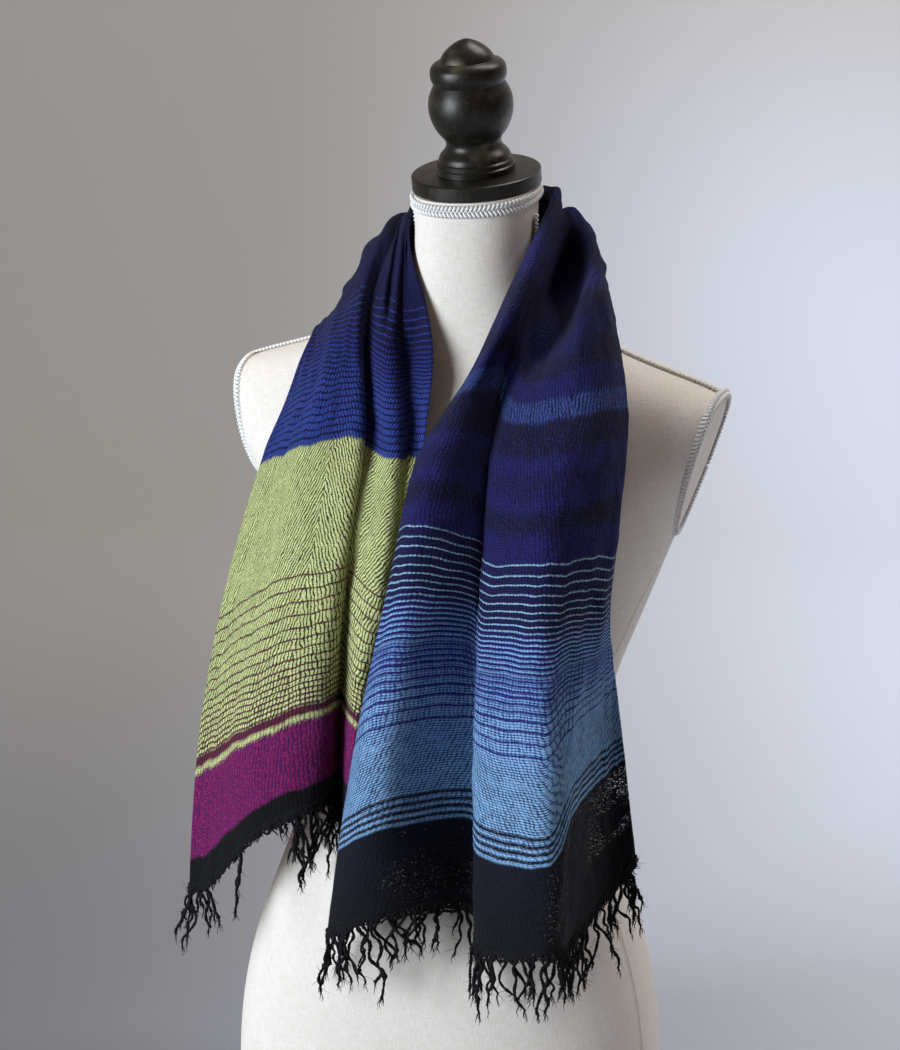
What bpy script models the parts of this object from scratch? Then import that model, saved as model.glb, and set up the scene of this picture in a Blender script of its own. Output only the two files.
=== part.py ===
"""Woven shawl laid round the neck of a limbless dress form.

Two falls hang in front of the form: a green end on one side, a blue end on the other.
All tables are in millimetres, in the form's own frame: x across the shoulders, y from the
front (negative) to the back, z up from the flat base.
"""
import math
import random

import bmesh
import bpy
import numpy as np
from mathutils import Matrix, Vector

MM = 0.001
SEAM = 0.3                 # space left between pieces that meet
WALL = 1.8                 # thickness of the cloth
REST = 0.9                 # space between the cloth and what it rests on
GREEN_HEM = 0.0            # stations along the cloth, from the green hem to the blue hem
GREEN_SEAM = 545.0
BLUE_SEAM = 763.0
BLUE_HEM = 1380.0

NECK_TOP = (0.0, -29.0, 794.0)     # centre of the neck's top
NECK_TILT = math.radians(12.7)     # how far the neck's top leans forward
NECK_LEAN = math.radians(-3.2)     # and to the side
PLATE_X = {-1: 183.5, 1: 188.0}    # arm plates: x at PLATE_Z, and how fast x grows with z
PLATE_Z = 575.0
PLATE_SLOPE = 0.19
WAIST = 345.0                      # height of the narrowest level
BOX_MIDDLE = (-3.8, -41.9, 0.0)    # middle of the whole part's base, which is its origin

SECTION_POWER = 2.3
BUST = (8.0, 82.0, 515.0, 36.0)    # rise, half spacing, height, spread

# Form, one row a level: z, half width, depth before and behind the centre line, centre y
FORM_LEVELS = (
    (0, 181, 109, 118, -24),
    (40, 182, 110, 122, -24),
    (90, 180, 109, 126, -24),
    (140, 172, 106, 124, -24),
    (190, 158, 100, 114, -23),
    (240, 142, 93, 101, -20),
    (290, 129, 86, 90, -17),
    (340, 121, 80, 84, -14),
    (390, 125, 84, 84, -12),
    (440, 141, 98, 88, -10),
    (480, 155, 110, 94, -8),
    (515, 167, 116, 98, -6),
    (550, 182, 115, 100, -4),
    (580, 200, 108, 98, -3),
    (603, 213, 99, 95, -2),
    (620, 218, 92, 91, -1),
    (634, 208, 85, 88, -2),
    (644, 187, 79, 85, -4),
    (655, 153, 74, 80, -6),
    (669, 115, 68, 74, -9),
    (685, 84, 62, 66, -13),
    (702, 63, 55, 58, -18),
    (722, 52, 51, 52, -22),
    (745, 48, 49, 49, -25),
    (770, 48, 49, 49, -28),
    (800, 49, 50, 50, -31),
    (820, 49, 50, 50, -32),
)

# Shawl, one row a section: name, place along the cloth, inner edge x y z, outer edge x y z
SECTIONS = (
    ("green hem", 0, -10, -112, 307, -210, -98, 202),
    ("green waist", 75, -13, -116, 373, -207, -95, 297),
    ("green bust", 190, -8, -138, 488, -191, -88, 432),
    ("green chest", 300, -11, -116, 589, -159, -82, 563),
    ("green breast", 358, -10, -106, 639, -138, -84, 616),
    ("green shoulder", 418, -16, -88, 680, -131, -50, 661),
    ("neck side one", 504, -48, -42, 755, -130, -6, 668),
    ("nape one", 585, -39, 9, 770, -90, 55, 660),
    ("nape", 654, 0, 24, 784, 0, 83, 658),
    ("nape two", 723, 39, 9, 782, 90, 55, 662),
    ("neck side two", 806, 53, -13, 774, 117, -6, 671),
    ("blue shoulder", 893, 35, -84, 699, 121, -44, 668),
    ("blue swag", 948, 17, -98, 651, 123, -66, 655),
    ("blue breast", 1010, -10, -122, 599, 125, -84, 600),
    ("blue bust", 1082, -21, -143, 533, 129, -90, 521),
    ("blue waist", 1210, -47, -148, 380, 145, -86, 410),
    ("blue hem", 1380, -70, -146, 200, 167, -84, 273),
)

# Folds, one row a fold from the inner edge outward, one column a section of the table above.
# Share of the way from the inner edge to the outer edge
FOLD_SHARE = (
    (.14, .15, .11, .11, .19, .24, .12, -.01, -.03, .05, .16, .04, .11, .15, .13, .14, .18),
    (.23, .22, .18, .18, .25, .29, .27, .10, .11, .12, .31, .21, .25, .37, .39, .44, .47),
    (.36, .35, .34, .39, .48, .51, .48, .14, .17, .20, .40, .34, .30, .38, .40, .44, .49),
    (.38, .36, .37, .43, .53, .54, .66, .26, .28, .33, .57, .44, .49, .59, .57, .60, .66),
    (.58, .59, .54, .57, .62, .67, .84, .45, .49, .48, .72, .54, .78, .85, .80, .78, .78),
    (.85, .84, .82, .77, .76, .91, .93, .66, .70, .73, .88, .85, 1.07, 1.10, 1.02, .92, .89),
)
# How far the fold stands out from the line between the edges
FOLD_OUT = (
    (-6, -7, 0, -1, -4, -4, -5, 9, 11, 4, -4, 25, 20, 25, 26, 30, 36),
    (21, 21, 16, 15, 12, 14, -13, 3, 4, 1, -10, 6, 2, 4, 13, 12, 16),
    (-3, -3, 5, 4, 0, -1, -22, 9, 13, 4, -7, 5, 17, 24, 32, 37, 46),
    (21, 22, 17, 17, 8, 9, -26, 11, 19, 5, -4, 27, 39, 54, 63, 73, 81),
    (38, 37, 26, 24, 15, 5, -18, 6, 12, 2, -2, 51, 58, 62, 64, 64, 63),
    (14, 14, 9, 15, 11, -4, -9, 10, 18, 4, -2, 23, 27, 28, 31, 26, 26),
)
# How far the fold sinks below that line
FOLD_DROP = (
    (2, 2, 3, 1, -1, -1, -15, -3, 0, -11, -30, 1, -5, -2, -9, -23, -17),
    (-13, -15, -3, -2, 3, 2, -40, -1, 0, -3, -31, -2, -7, 4, 2, -10, 2),
    (-34, -30, -25, -10, -9, -14, -46, -3, 0, -10, -42, 2, 18, 15, 12, 0, 23),
    (-37, -35, -29, -19, -14, -16, -69, -4, 0, -14, -47, 11, 27, 20, 8, 2, 27),
    (-34, -30, -27, -17, -14, -16, -48, -2, 0, -7, -39, 3, 21, 12, 2, 5, 34),
    (-4, -13, -12, -11, -11, -11, -16, -4, 0, -10, -22, -26, 10, 2, -2, 2, 20),
)
# Where each edge and fold lies across the flat cloth, as a share of its width
FOLD_PLACE = (0.0, 0.11, 0.22, 0.32, 0.42, 0.58, 0.78, 1.0)

# Turned finial: height above the neck cap, radius
FINIAL_PROFILE = (
    (0, 31.4), (4.4, 31.6), (5.4, 30.4), (8.6, 30.4), (9.6, 28.8), (12.5, 28.2), (15.5, 26.2),
    (18.5, 23.4), (22, 21.9), (25, 22.2), (28.5, 24.4), (33, 27.8), (40, 31.2), (47, 33.1),
    (54, 33.4), (61, 32.2), (66.5, 29.8), (70, 27.9), (71.2, 28.3), (74, 29.6), (79, 30.1),
    (83.5, 29), (86.5, 26), (88, 21.6), (91.5, 19.9), (95.5, 16.7), (99, 12.4), (102, 7.4),
    (104, 2),
)
CAP_RADIUS = 51.5
CAP_HEIGHT = 12.0
NECK_BRAID = (12.0, 2.4)           # height and thickness
ARM_BRAID = (6.5, 2.4)
SHOULDER_BRAID = (5.5, 1.5)

HEM_GAP = 1.1                      # space between the hem and the strip below it
FRINGE_STRIP = 6.0                 # height of the strip that carries the fringe
STRAND_WIDTH = 3.2
STRAND_LENGTH = (40.0, 62.0)

COLUMNS = 29                       # grid of the cloth
GREEN_ROWS = 31
NECK_ROWS = 14
BLUE_ROWS = 34


def smooth(xs, ys, query):
    """Natural cubic spline through the rows ys at xs, read at query."""
    xs = np.asarray(xs, float)
    ys = np.asarray(ys, float)
    query = np.asarray(query, float)
    count = len(xs)
    step = np.diff(xs)
    matrix = np.eye(count)
    right = np.zeros_like(ys)
    for i in range(1, count - 1):
        matrix[i, i - 1:i + 2] = step[i - 1], 2 * (step[i - 1] + step[i]), step[i]
        right[i] = 6 * ((ys[i + 1] - ys[i]) / step[i] - (ys[i] - ys[i - 1]) / step[i - 1])
    bend = np.linalg.solve(matrix, right.reshape(count, -1)).reshape(ys.shape)
    at = np.clip(np.searchsorted(xs, query) - 1, 0, count - 2)
    tail = (-1,) + (1,) * (ys.ndim - 1)
    after = (query - xs[at]).reshape(tail)
    before = (xs[at + 1] - query).reshape(tail)
    h = step[at].reshape(tail)
    curve = (bend[at] * before ** 3 + bend[at + 1] * after ** 3) / (6 * h)
    line = (ys[at] / h - bend[at] * h / 6) * before + (ys[at + 1] / h - bend[at + 1] * h / 6) * after
    return curve + line


def unit(rows):
    return rows / np.maximum(np.linalg.norm(rows, axis=-1, keepdims=True), 1e-9)


def form_reading(points):
    """About 0 on the form's skin, more outside, as a share of its own radius."""
    points = np.asarray(points, float)
    flat = points.reshape(-1, 3)
    levels = np.array(FORM_LEVELS, float)
    z = np.clip(flat[:, 2], levels[0, 0], levels[-1, 0])
    half, front, back, centre = smooth(levels[:, 0], levels[:, 1:], z).T
    rise, spacing, height, spread = BUST
    bust = rise * np.exp(-((np.abs(flat[:, 0]) - spacing) ** 2 + (z - height) ** 2) / (2 * spread ** 2))
    deep = np.where(flat[:, 1] < centre, front + bust, back)
    total = np.abs(flat[:, 0] / half) ** SECTION_POWER + np.abs((flat[:, 1] - centre) / deep) ** SECTION_POWER
    return (total ** (1 / SECTION_POWER) - 1).reshape(points.shape[:-1])


def form_distance(points):
    """Distance from the form's skin, and the way out."""
    slope = np.zeros(points.shape)
    for axis in range(3):
        move = np.zeros(3)
        move[axis] = 0.5
        slope[..., axis] = form_reading(points + move) - form_reading(points - move)
    size = np.maximum(np.linalg.norm(slope, axis=-1), 1e-6)
    return form_reading(points) / size, slope / size[..., None]


def lay_on_form(points, space):
    """Move points out until they are the wanted space from the form."""
    points = np.array(points, float)
    for _ in range(5):
        distance, outward = form_distance(points)
        seam = np.exp(-((points[..., 1] + 10) / 14.0) ** 2) * (np.abs(points[..., 0]) > 30)
        wanted = space + (SHOULDER_BRAID[1] + 2 * SEAM) * seam
        short = wanted - distance
        soft = 1.2 * np.logaddexp(0.0, short / 1.2)
        points += outward * np.where(short > -8, soft, 0.0)[..., None] * 0.6
    distance, outward = form_distance(points)
    points += outward * np.maximum(space - distance, 0.0)[..., None]
    return points


def section_controls():
    """Edges and fold crowns of every section."""
    rows = np.array([row[1:] for row in SECTIONS], float)
    along, inner, outer = rows[:, 0], rows[:, 1:4], rows[:, 4:7]
    middle = (inner + outer) / 2
    path = unit(smooth(along, middle, along + 1.0) - smooth(along, middle, along - 1.0))
    across = outer - inner
    out = unit(np.cross(path, across))
    controls = [inner]
    for share, rise, drop in zip(FOLD_SHARE, FOLD_OUT, FOLD_DROP):
        point = inner + across * np.array(share)[:, None] + out * np.array(rise)[:, None]
        point[:, 2] -= np.array(drop)
        controls.append(point)
    controls.append(outer)
    return along, np.stack(controls, axis=1)


def shawl_surface(places, stations):
    """Middle of the cloth: one row of points for each station along its length."""
    along, controls = section_controls()
    rows = smooth(along, controls, stations)
    points = smooth(FOLD_PLACE, np.swapaxes(rows, 0, 1), places)
    return lay_on_form(np.swapaxes(points, 0, 1), WALL / 2 + REST)


def ease_faces(points, space):
    """Lift the grid where a flat face between its points would cut into the form."""
    for _ in range(8):
        lift = np.zeros(points.shape)
        for di, dj in ((1, 1), (1, 0), (0, 1)):
            corners = [points[a:points.shape[0] - di + a, b:points.shape[1] - dj + b]
                       for a in range(di + 1) for b in range(dj + 1)]
            middle = sum(corners) / len(corners)
            distance, outward = form_distance(middle)
            short = outward * np.maximum(space - distance, 0.0)[..., None]
            for a in range(di + 1):
                for b in range(dj + 1):
                    part = lift[a:points.shape[0] - di + a, b:points.shape[1] - dj + b]
                    part[...] = np.where(np.abs(short) > np.abs(part), short, part)
        points = points + lift
    return points


def whole_cloth():
    """Both faces of the whole cloth, parted at the two seams."""
    stations = np.concatenate([
        np.linspace(GREEN_HEM, GREEN_SEAM - SEAM / 2, GREEN_ROWS),
        np.linspace(GREEN_SEAM + SEAM / 2, BLUE_SEAM - SEAM / 2, NECK_ROWS),
        np.linspace(BLUE_SEAM + SEAM / 2, BLUE_HEM, BLUE_ROWS)])
    middle = ease_faces(shawl_surface(np.linspace(0.0, 1.0, COLUMNS), stations), WALL / 2 + REST)
    length = np.gradient(middle, stations, axis=0)
    side = np.gradient(middle, axis=1)
    for seam in (GREEN_ROWS, GREEN_ROWS + NECK_ROWS):
        centre = (middle[seam - 1] + middle[seam]) / 2
        length[seam - 1:seam + 1] = (middle[seam + 1] - middle[seam - 2])[None]
        side[seam - 1:seam + 1] = np.gradient(centre, axis=0)[None]
        square = np.cross(side[seam], np.cross(length[seam], side[seam]))
        middle[seam - 1] = centre - unit(square) * SEAM * 0.6
        middle[seam] = centre + unit(square) * SEAM * 0.6
    outward = unit(np.cross(length, side))
    return middle + outward * WALL / 2, middle - outward * WALL / 2, unit(length)


def material(name, colour, roughness, metallic=0.0):
    made = bpy.data.materials.new(name)
    made.use_nodes = True
    shader = made.node_tree.nodes["Principled BSDF"]
    shader.inputs["Base Color"].default_value = (*colour, 1.0)
    shader.inputs["Roughness"].default_value = roughness
    shader.inputs["Metallic"].default_value = metallic
    return made


def place(name, mesh, skin, smooth_faces=True):
    """Put a finished mesh in the collection, in metres, from the part's origin."""
    mesh.transform(Matrix.Scale(MM, 4) @ Matrix.Translation(-Vector(BOX_MIDDLE)))
    mesh.materials.append(skin)
    for face in mesh.polygons:
        face.use_smooth = smooth_faces
    piece = bpy.data.objects.new(name, mesh)
    COLLECTION.objects.link(piece)
    return piece


def from_bmesh(name, bm, skin, smooth_faces=True):
    bmesh.ops.recalc_face_normals(bm, faces=bm.faces)
    mesh = bpy.data.meshes.new(name)
    bm.to_mesh(mesh)
    bm.free()
    return place(name, mesh, skin, smooth_faces)


def cloth_stretch(name, front, back, skin):
    """One stretch of the shawl: its two faces and the rim between them."""
    rows, columns = front.shape[:2]
    half = rows * columns
    faces = []
    for i in range(rows - 1):
        for j in range(columns - 1):
            a = i * columns + j
            b = a + columns
            faces.append((a, b, b + 1, a + 1))
            faces.append((half + a, half + a + 1, half + b + 1, half + b))
    edge = list(range(columns))
    edge += [i * columns + columns - 1 for i in range(1, rows)]
    edge += [(rows - 1) * columns + j for j in range(columns - 2, -1, -1)]
    edge += [i * columns for i in range(rows - 2, 0, -1)]
    for pair in zip(edge, edge[1:] + edge[:1]):
        a, b = sorted(pair)
        faces.append((a, b, half + b))
        faces.append((a, half + b, half + a))
    mesh = bpy.data.meshes.new(name)
    points = np.concatenate([front.reshape(-1, 3), back.reshape(-1, 3)])
    mesh.from_pydata(points.tolist(), [], faces)
    mesh.validate()
    bm = bmesh.new()
    bm.from_mesh(mesh)
    bpy.data.meshes.remove(mesh)
    return from_bmesh(name, bm, skin)


def fringe(name, front, back, down, seed, skin):
    """Strip along the hem, with one strand drawn down from it in every column."""
    rng = random.Random(seed)
    columns = len(front)
    shares = []
    for j in range(columns - 1):
        width = np.linalg.norm(front[j + 1] + back[j + 1] - front[j] - back[j]) / 2
        half = min(0.4, STRAND_WIDTH / 2 / width)
        shares += [float(j), j + 0.5 - half, j + 0.5 + half]
    shares.append(float(columns - 1))
    grid = np.arange(columns)
    rails = []
    for face in (front, back):
        line = np.stack([np.interp(shares, grid, face[:, axis]) for axis in range(3)], axis=1)
        way = unit(np.stack([np.interp(shares, grid, down[:, axis]) for axis in range(3)], axis=1))
        start = line - np.array((0.0, 0.0, HEM_GAP))
        rails.append((start, start + way * FRINGE_STRIP))
    bm = bmesh.new()
    top = [(bm.verts.new(a), bm.verts.new(b)) for a, b in zip(rails[0][0], rails[1][0])]
    low = [(bm.verts.new(a), bm.verts.new(b)) for a, b in zip(rails[0][1], rails[1][1])]
    bm.faces.new((top[0][0], top[0][1], low[0][1], low[0][0]))
    bm.faces.new((top[-1][0], low[-1][0], low[-1][1], top[-1][1]))
    for j in range(len(shares) - 1):
        bm.faces.new((top[j][0], low[j][0], low[j + 1][0], top[j + 1][0]))
        bm.faces.new((top[j][1], top[j + 1][1], low[j + 1][1], low[j][1]))
        bm.faces.new((top[j][0], top[j + 1][0], top[j + 1][1], top[j][1]))
        ring = [low[j][0], low[j][1], low[j + 1][1], low[j + 1][0]]
        if j % 3 == 1:
            ring = strand(bm, ring, rng)
        bm.faces.new(ring)
    return from_bmesh(name, bm, skin)


def strand(bm, ring, rng):
    """Draw one strand down from a ring of four corners, and return its last ring."""
    corners = np.array([corner.co[:] for corner in ring])
    root = corners.mean(axis=0)
    spread = corners - root
    spread = unit(spread) * STRAND_WIDTH / 2
    spread[:, 2] = 0.0
    length = rng.uniform(*STRAND_LENGTH)
    lean = np.array((rng.uniform(-0.05, 0.05), rng.uniform(-0.08, 0.04), 0.0))
    sway = rng.uniform(-1.2, 1.2)
    steps = 4
    for i in range(1, steps + 1):
        share = i / steps
        centre = root + length * share * (lean + np.array((0.0, 0.0, -1.0)))
        centre = centre + np.array((sway * math.sin(share * math.pi * 1.5), 0.0, 0.0))
        centre = lay_on_form(centre[None], STRAND_WIDTH / 2 + 1.2)[0]
        width = (1.0, 0.85, 0.9, 1.0, 0.7)[i]
        after = [bm.verts.new(centre + corner * width) for corner in spread]
        for k in range(4):
            bm.faces.new((ring[k], ring[(k + 1) % 4], after[(k + 1) % 4], after[k]))
        ring = after
    return ring


def ring_point(angle, z):
    """Point of the form's skin at one level."""
    levels = np.array(FORM_LEVELS, float)
    half, front, back, centre = smooth(levels[:, 0], levels[:, 1:], [z])[0]
    c, s = math.cos(angle), math.sin(angle)
    x = half * math.copysign(abs(c) ** (2 / SECTION_POWER), c)
    rise, spacing, height, spread = BUST
    bust = rise * math.exp(-((abs(x) - spacing) ** 2 + (z - height) ** 2) / (2 * spread ** 2))
    deep = back if s > 0 else front + bust
    return (x, centre + deep * math.copysign(abs(s) ** (2 / SECTION_POWER), s), z)


def cut(bm, point, normal, above):
    """Cut what stands above one height by a plane, drop what lies before it and close the cut."""
    geometry = [vert for vert in bm.verts if vert.co.z > above]
    geometry += [edge for edge in bm.edges if min(vert.co.z for vert in edge.verts) > above]
    geometry += [face for face in bm.faces if min(vert.co.z for vert in face.verts) > above]
    found = bmesh.ops.bisect_plane(
        bm, geom=geometry, plane_co=point, plane_no=normal, clear_outer=True)
    rim = [item for item in found["geom_cut"] if isinstance(item, bmesh.types.BMEdge)]
    bmesh.ops.contextual_create(bm, geom=rim)


def dress_form(skin):
    heights = [0, 40, 90, 135, 170, 205, 240, 275, 310, 345, 380, 415, 448, 480, 510, 538, 566,
               590, 609, 624, 634, 642, 650, 659, 669, 680, 690, 699, 707, 716, 728, 748, 775, 815]
    segments = 36
    bm = bmesh.new()
    rings = []
    for z in heights:
        rings.append([bm.verts.new(ring_point(2 * math.pi * (k + 0.5) / segments, z)) for k in range(segments)])
    for low, high in zip(rings[:-1], rings[1:]):
        for k in range(segments):
            bm.faces.new((low[k], low[(k + 1) % segments], high[(k + 1) % segments], high[k]))
    bm.faces.new(rings[0][::-1])
    bm.faces.new(rings[-1])
    cut(bm, NECK_TOP, on_neck_axis(0.0).to_3x3() @ Vector((0.0, 0.0, 1.0)), WAIST)
    for side in (-1, 1):
        cut(bm, (side * PLATE_X[side], 0.0, PLATE_Z), Vector((side, 0.0, -PLATE_SLOPE)), WAIST)
    return from_bmesh("form_torso", bm, skin)


def on_neck_axis(height):
    """Matrix whose z axis is the neck's, height mm above the neck's top."""
    turn = Matrix.Rotation(NECK_LEAN, 4, "Y") @ Matrix.Rotation(NECK_TILT, 4, "X")
    return Matrix.Translation(NECK_TOP) @ turn @ Matrix.Translation((0.0, 0.0, height))


def neck_cap(skin):
    bm = bmesh.new()
    bmesh.ops.create_cone(
        bm, cap_ends=True, segments=40, radius1=CAP_RADIUS, radius2=CAP_RADIUS, depth=CAP_HEIGHT)
    rims = [edge for edge in bm.edges if abs(edge.verts[0].co.z - edge.verts[1].co.z) < 0.1]
    bmesh.ops.bevel(bm, geom=rims, offset=1.2, segments=1, affect="EDGES")
    bmesh.ops.transform(bm, matrix=on_neck_axis(SEAM + CAP_HEIGHT / 2), verts=bm.verts)
    return from_bmesh("form_neck_cap", bm, skin)


def finial(skin):
    segments = 24
    bm = bmesh.new()
    rings = []
    for height, radius in FINIAL_PROFILE:
        ring = []
        for k in range(segments):
            angle = 2 * math.pi * k / segments
            ring.append(bm.verts.new((radius * math.cos(angle), radius * math.sin(angle), height)))
        rings.append(ring)
    for low, high in zip(rings[:-1], rings[1:]):
        for k in range(segments):
            bm.faces.new((low[k], low[(k + 1) % segments], high[(k + 1) % segments], high[k]))
    bm.faces.new(rings[0][::-1])
    bm.faces.new(rings[-1])
    bmesh.ops.transform(bm, matrix=on_neck_axis(2 * SEAM + CAP_HEIGHT), verts=bm.verts)
    return from_bmesh("form_finial", bm, skin)


def skin_radius(origin, direction):
    """Distance along a direction from inside the form to its skin."""
    near, far = 5.0, 260.0
    for _ in range(40):
        middle = (near + far) / 2
        if form_reading(origin + direction * middle) < 0:
            near = middle
        else:
            far = middle
    return near


def band(name, outlines, skin, closed):
    """Loft a braid through rings of four corners."""
    bm = bmesh.new()
    rings = [[bm.verts.new(corner) for corner in outline] for outline in outlines]
    pairs = list(zip(rings[:-1], rings[1:]))
    if closed:
        pairs.append((rings[-1], rings[0]))
    for first, second in pairs:
        for k in range(4):
            bm.faces.new((first[k], first[(k + 1) % 4], second[(k + 1) % 4], second[k]))
    if not closed:
        bm.faces.new(rings[0][::-1])
        bm.faces.new(rings[-1])
    return from_bmesh(name, bm, skin)


def neck_braid(skin):
    height, thick = NECK_BRAID
    frame = np.array(on_neck_axis(0.0))
    outlines = []
    for k in range(44):
        angle = 2 * math.pi * k / 44
        way = frame[:3, 0] * math.cos(angle) + frame[:3, 1] * math.sin(angle)
        corners = []
        for depth, extra in ((0.0, 0.0), (0.0, thick), (height, thick), (height, 0.0)):
            origin = frame[:3, 3] - frame[:3, 2] * (SEAM + depth)
            reach = skin_radius(origin, way) + 0.5 + extra
            corners.append(origin + way * reach)
        outlines.append(corners)
    return band("neck_braid", outlines, skin, True)


def arm_outline(side, count):
    """Outline of an arm plate: points of the skin where the plate's plane cuts it."""
    lean = math.hypot(1.0, PLATE_SLOPE)
    up = np.array((side * PLATE_SLOPE, 0.0, 1.0)) / lean
    middle = np.array((side * PLATE_X[side], -3.0, PLATE_Z)) - up * 2.0
    points = []
    for k in range(count):
        angle = 2 * math.pi * k / count
        way = up * math.sin(angle) + np.array((0.0, math.cos(angle), 0.0))
        points.append(middle + way * skin_radius(middle, way))
    return np.array(points), middle


def arm_braid(side, name, skin):
    width, thick = ARM_BRAID
    points, middle = arm_outline(side, 40)
    outward = np.array((side, 0.0, -PLATE_SLOPE)) / math.hypot(1.0, PLATE_SLOPE)
    along = unit(np.roll(points, -1, axis=0) - np.roll(points, 1, axis=0))
    away = unit(np.cross(along, outward))
    away *= np.sign((away * (points - middle)).sum(axis=1))[:, None]
    outlines = []
    for point, way in zip(points, away):
        low, high = point + outward * SEAM, point + outward * (SEAM + thick)
        outlines.append((low - way * (width - 1.0), low + way, high + way, high - way * (width - 1.0)))
    return band(name, outlines, skin, True)


def shoulder_braid(side, name, skin):
    """Strip over the shoulder seam, from the arm braid to the neck braid."""
    width, thick = SHOULDER_BRAID
    levels = np.array(FORM_LEVELS, float)
    heights = [636.0, 640, 645, 650, 656, 662, 669, 677, 685, 693, 701, 708, 716, 728, 746, 774]
    seam = []
    for z in heights:
        half, front, back, centre = smooth(levels[:, 0], levels[:, 1:], [z])[0]
        seam.append((side * half, centre, z))
    seam = np.array(seam)
    limit = PLATE_X[side] + PLATE_SLOPE * (636.0 - PLATE_Z) - 5.5
    seam[:, 0] = side * np.minimum(np.abs(seam[:, 0]), limit)
    seam = seam[np.abs(seam[:, 0]) <= limit]
    outlines = []
    for point in seam:
        corners = []
        for offset, extra in ((-width / 2, 0.6), (-width / 2, 0.6 + thick),
                              (width / 2, 0.6 + thick), (width / 2, 0.6)):
            start = point + np.array((0.0, offset, 0.0))
            distance, outward = form_distance(start[None])
            start = start - outward[0] * distance[0]
            distance, outward = form_distance(start[None])
            start = start + outward[0] * (extra - distance[0])
            corners.append(start)
        outlines.append(corners)
    return band(name, outlines, skin, False)


for old in list(bpy.data.objects):
    bpy.data.objects.remove(old, do_unlink=True)
COLLECTION = bpy.data.collections.new("woven_shawl")
bpy.context.scene.collection.children.link(COLLECTION)

BLUE = material("shawl_blue", (0.035, 0.05, 0.27), 0.85)
GREEN = material("shawl_green", (0.40, 0.45, 0.10), 0.85)
BLACK = material("fringe_black", (0.010, 0.010, 0.014), 0.9)
LINEN = material("form_linen", (0.72, 0.66, 0.58), 0.9)
GIMP = material("braid_white", (0.85, 0.83, 0.79), 0.7)
BRONZE = material("dark_bronze", (0.035, 0.031, 0.028), 0.4)

FRONT, BACK, DOWN = whole_cloth()
NECK_ROW = GREEN_ROWS + NECK_ROWS
cloth_stretch("shawl_green_fall", FRONT[:GREEN_ROWS], BACK[:GREEN_ROWS], GREEN)
cloth_stretch("shawl_neck", FRONT[GREEN_ROWS:NECK_ROW], BACK[GREEN_ROWS:NECK_ROW], BLUE)
cloth_stretch("shawl_blue_fall", FRONT[NECK_ROW:], BACK[NECK_ROW:], BLUE)
fringe("fringe_green", FRONT[0], BACK[0], -DOWN[0], 11, BLACK)
fringe("fringe_blue", FRONT[-1], BACK[-1], DOWN[-1], 5, BLACK)
dress_form(LINEN)
neck_cap(BRONZE)
finial(BRONZE)
neck_braid(GIMP)
arm_braid(-1, "arm_braid_right", GIMP)
arm_braid(1, "arm_braid_left", GIMP)
shoulder_braid(-1, "shoulder_braid_right", GIMP)
shoulder_braid(1, "shoulder_braid_left", GIMP)
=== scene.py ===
"""Looks of a woven shawl laid round the neck of a limbless dress form.

The tables repeat the model's own: millimetres in the form's frame, x across the shoulders, y from
the front (negative) to the back, z up from the flat base.
"""
import math
import random

import bmesh
import bpy
import numpy as np
from mathutils import Matrix, Vector


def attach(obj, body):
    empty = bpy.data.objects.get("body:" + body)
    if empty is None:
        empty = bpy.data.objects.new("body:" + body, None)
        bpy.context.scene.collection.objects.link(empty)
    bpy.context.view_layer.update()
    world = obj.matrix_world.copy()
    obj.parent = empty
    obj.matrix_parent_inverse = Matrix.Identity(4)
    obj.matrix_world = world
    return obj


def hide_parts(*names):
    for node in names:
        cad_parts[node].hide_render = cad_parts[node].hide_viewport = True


MM = 0.001
WALL = 1.8                         # the cloth's wall in the solids
VISIBLE_WALL = 1.5                 # and in this script
REST = 0.9                         # least space between the solid cloth and the form
CLOTH_WIDTH = 270.0

# Places along the cloth: its hems, and the lines that part its stretches
GREEN_HEM = 0.0
GREEN_SEAM = 545.0
BLUE_SEAM = 763.0
BLUE_HEM = 1380.0
OPEN_HEM = 1313.0

NECK_TOP = (0.0, -29.0, 794.0)
NECK_TILT = math.radians(12.7)
NECK_LEAN = math.radians(-3.2)
PLATE_X = {-1: 183.5, 1: 184.0}
PLATE_Z = 575.0
PLATE_SLOPE = {-1: 0.19, 1: 0.27}
PLATE_TOP = 638.0
WAIST = 345.0
BOX_MIDDLE = (-3.8, -41.9, 0.0)

SECTION_POWER = 2.3
BUST = (8.0, 82.0, 515.0, 36.0)    # how far it stands out, x and z of its middle, spread

# Form, one row a level: z, half width, depth before and behind the centre line, centre y
FORM_LEVELS = (
    (0, 181, 109, 118, -24),
    (40, 182, 110, 122, -24),
    (90, 180, 109, 126, -24),
    (140, 172, 106, 124, -24),
    (190, 158, 100, 114, -23),
    (240, 142, 93, 101, -20),
    (290, 129, 86, 90, -17),
    (340, 121, 80, 84, -14),
    (390, 125, 84, 84, -12),
    (440, 141, 98, 88, -10),
    (480, 155, 110, 94, -8),
    (515, 167, 116, 98, -6),
    (550, 182, 115, 100, -4),
    (580, 200, 108, 98, -3),
    (603, 213, 99, 95, -2),
    (620, 218, 92, 91, -1),
    (634, 208, 85, 88, -2),
    (644, 187, 79, 85, -4),
    (655, 153, 74, 80, -6),
    (669, 115, 68, 74, -9),
    (685, 84, 62, 66, -13),
    (702, 63, 55, 58, -18),
    (722, 52, 51, 52, -22),
    (745, 48, 49, 49, -25),
    (770, 48, 49, 49, -28),
    (800, 49, 50, 50, -31),
    (820, 49, 50, 50, -32),
)

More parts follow.
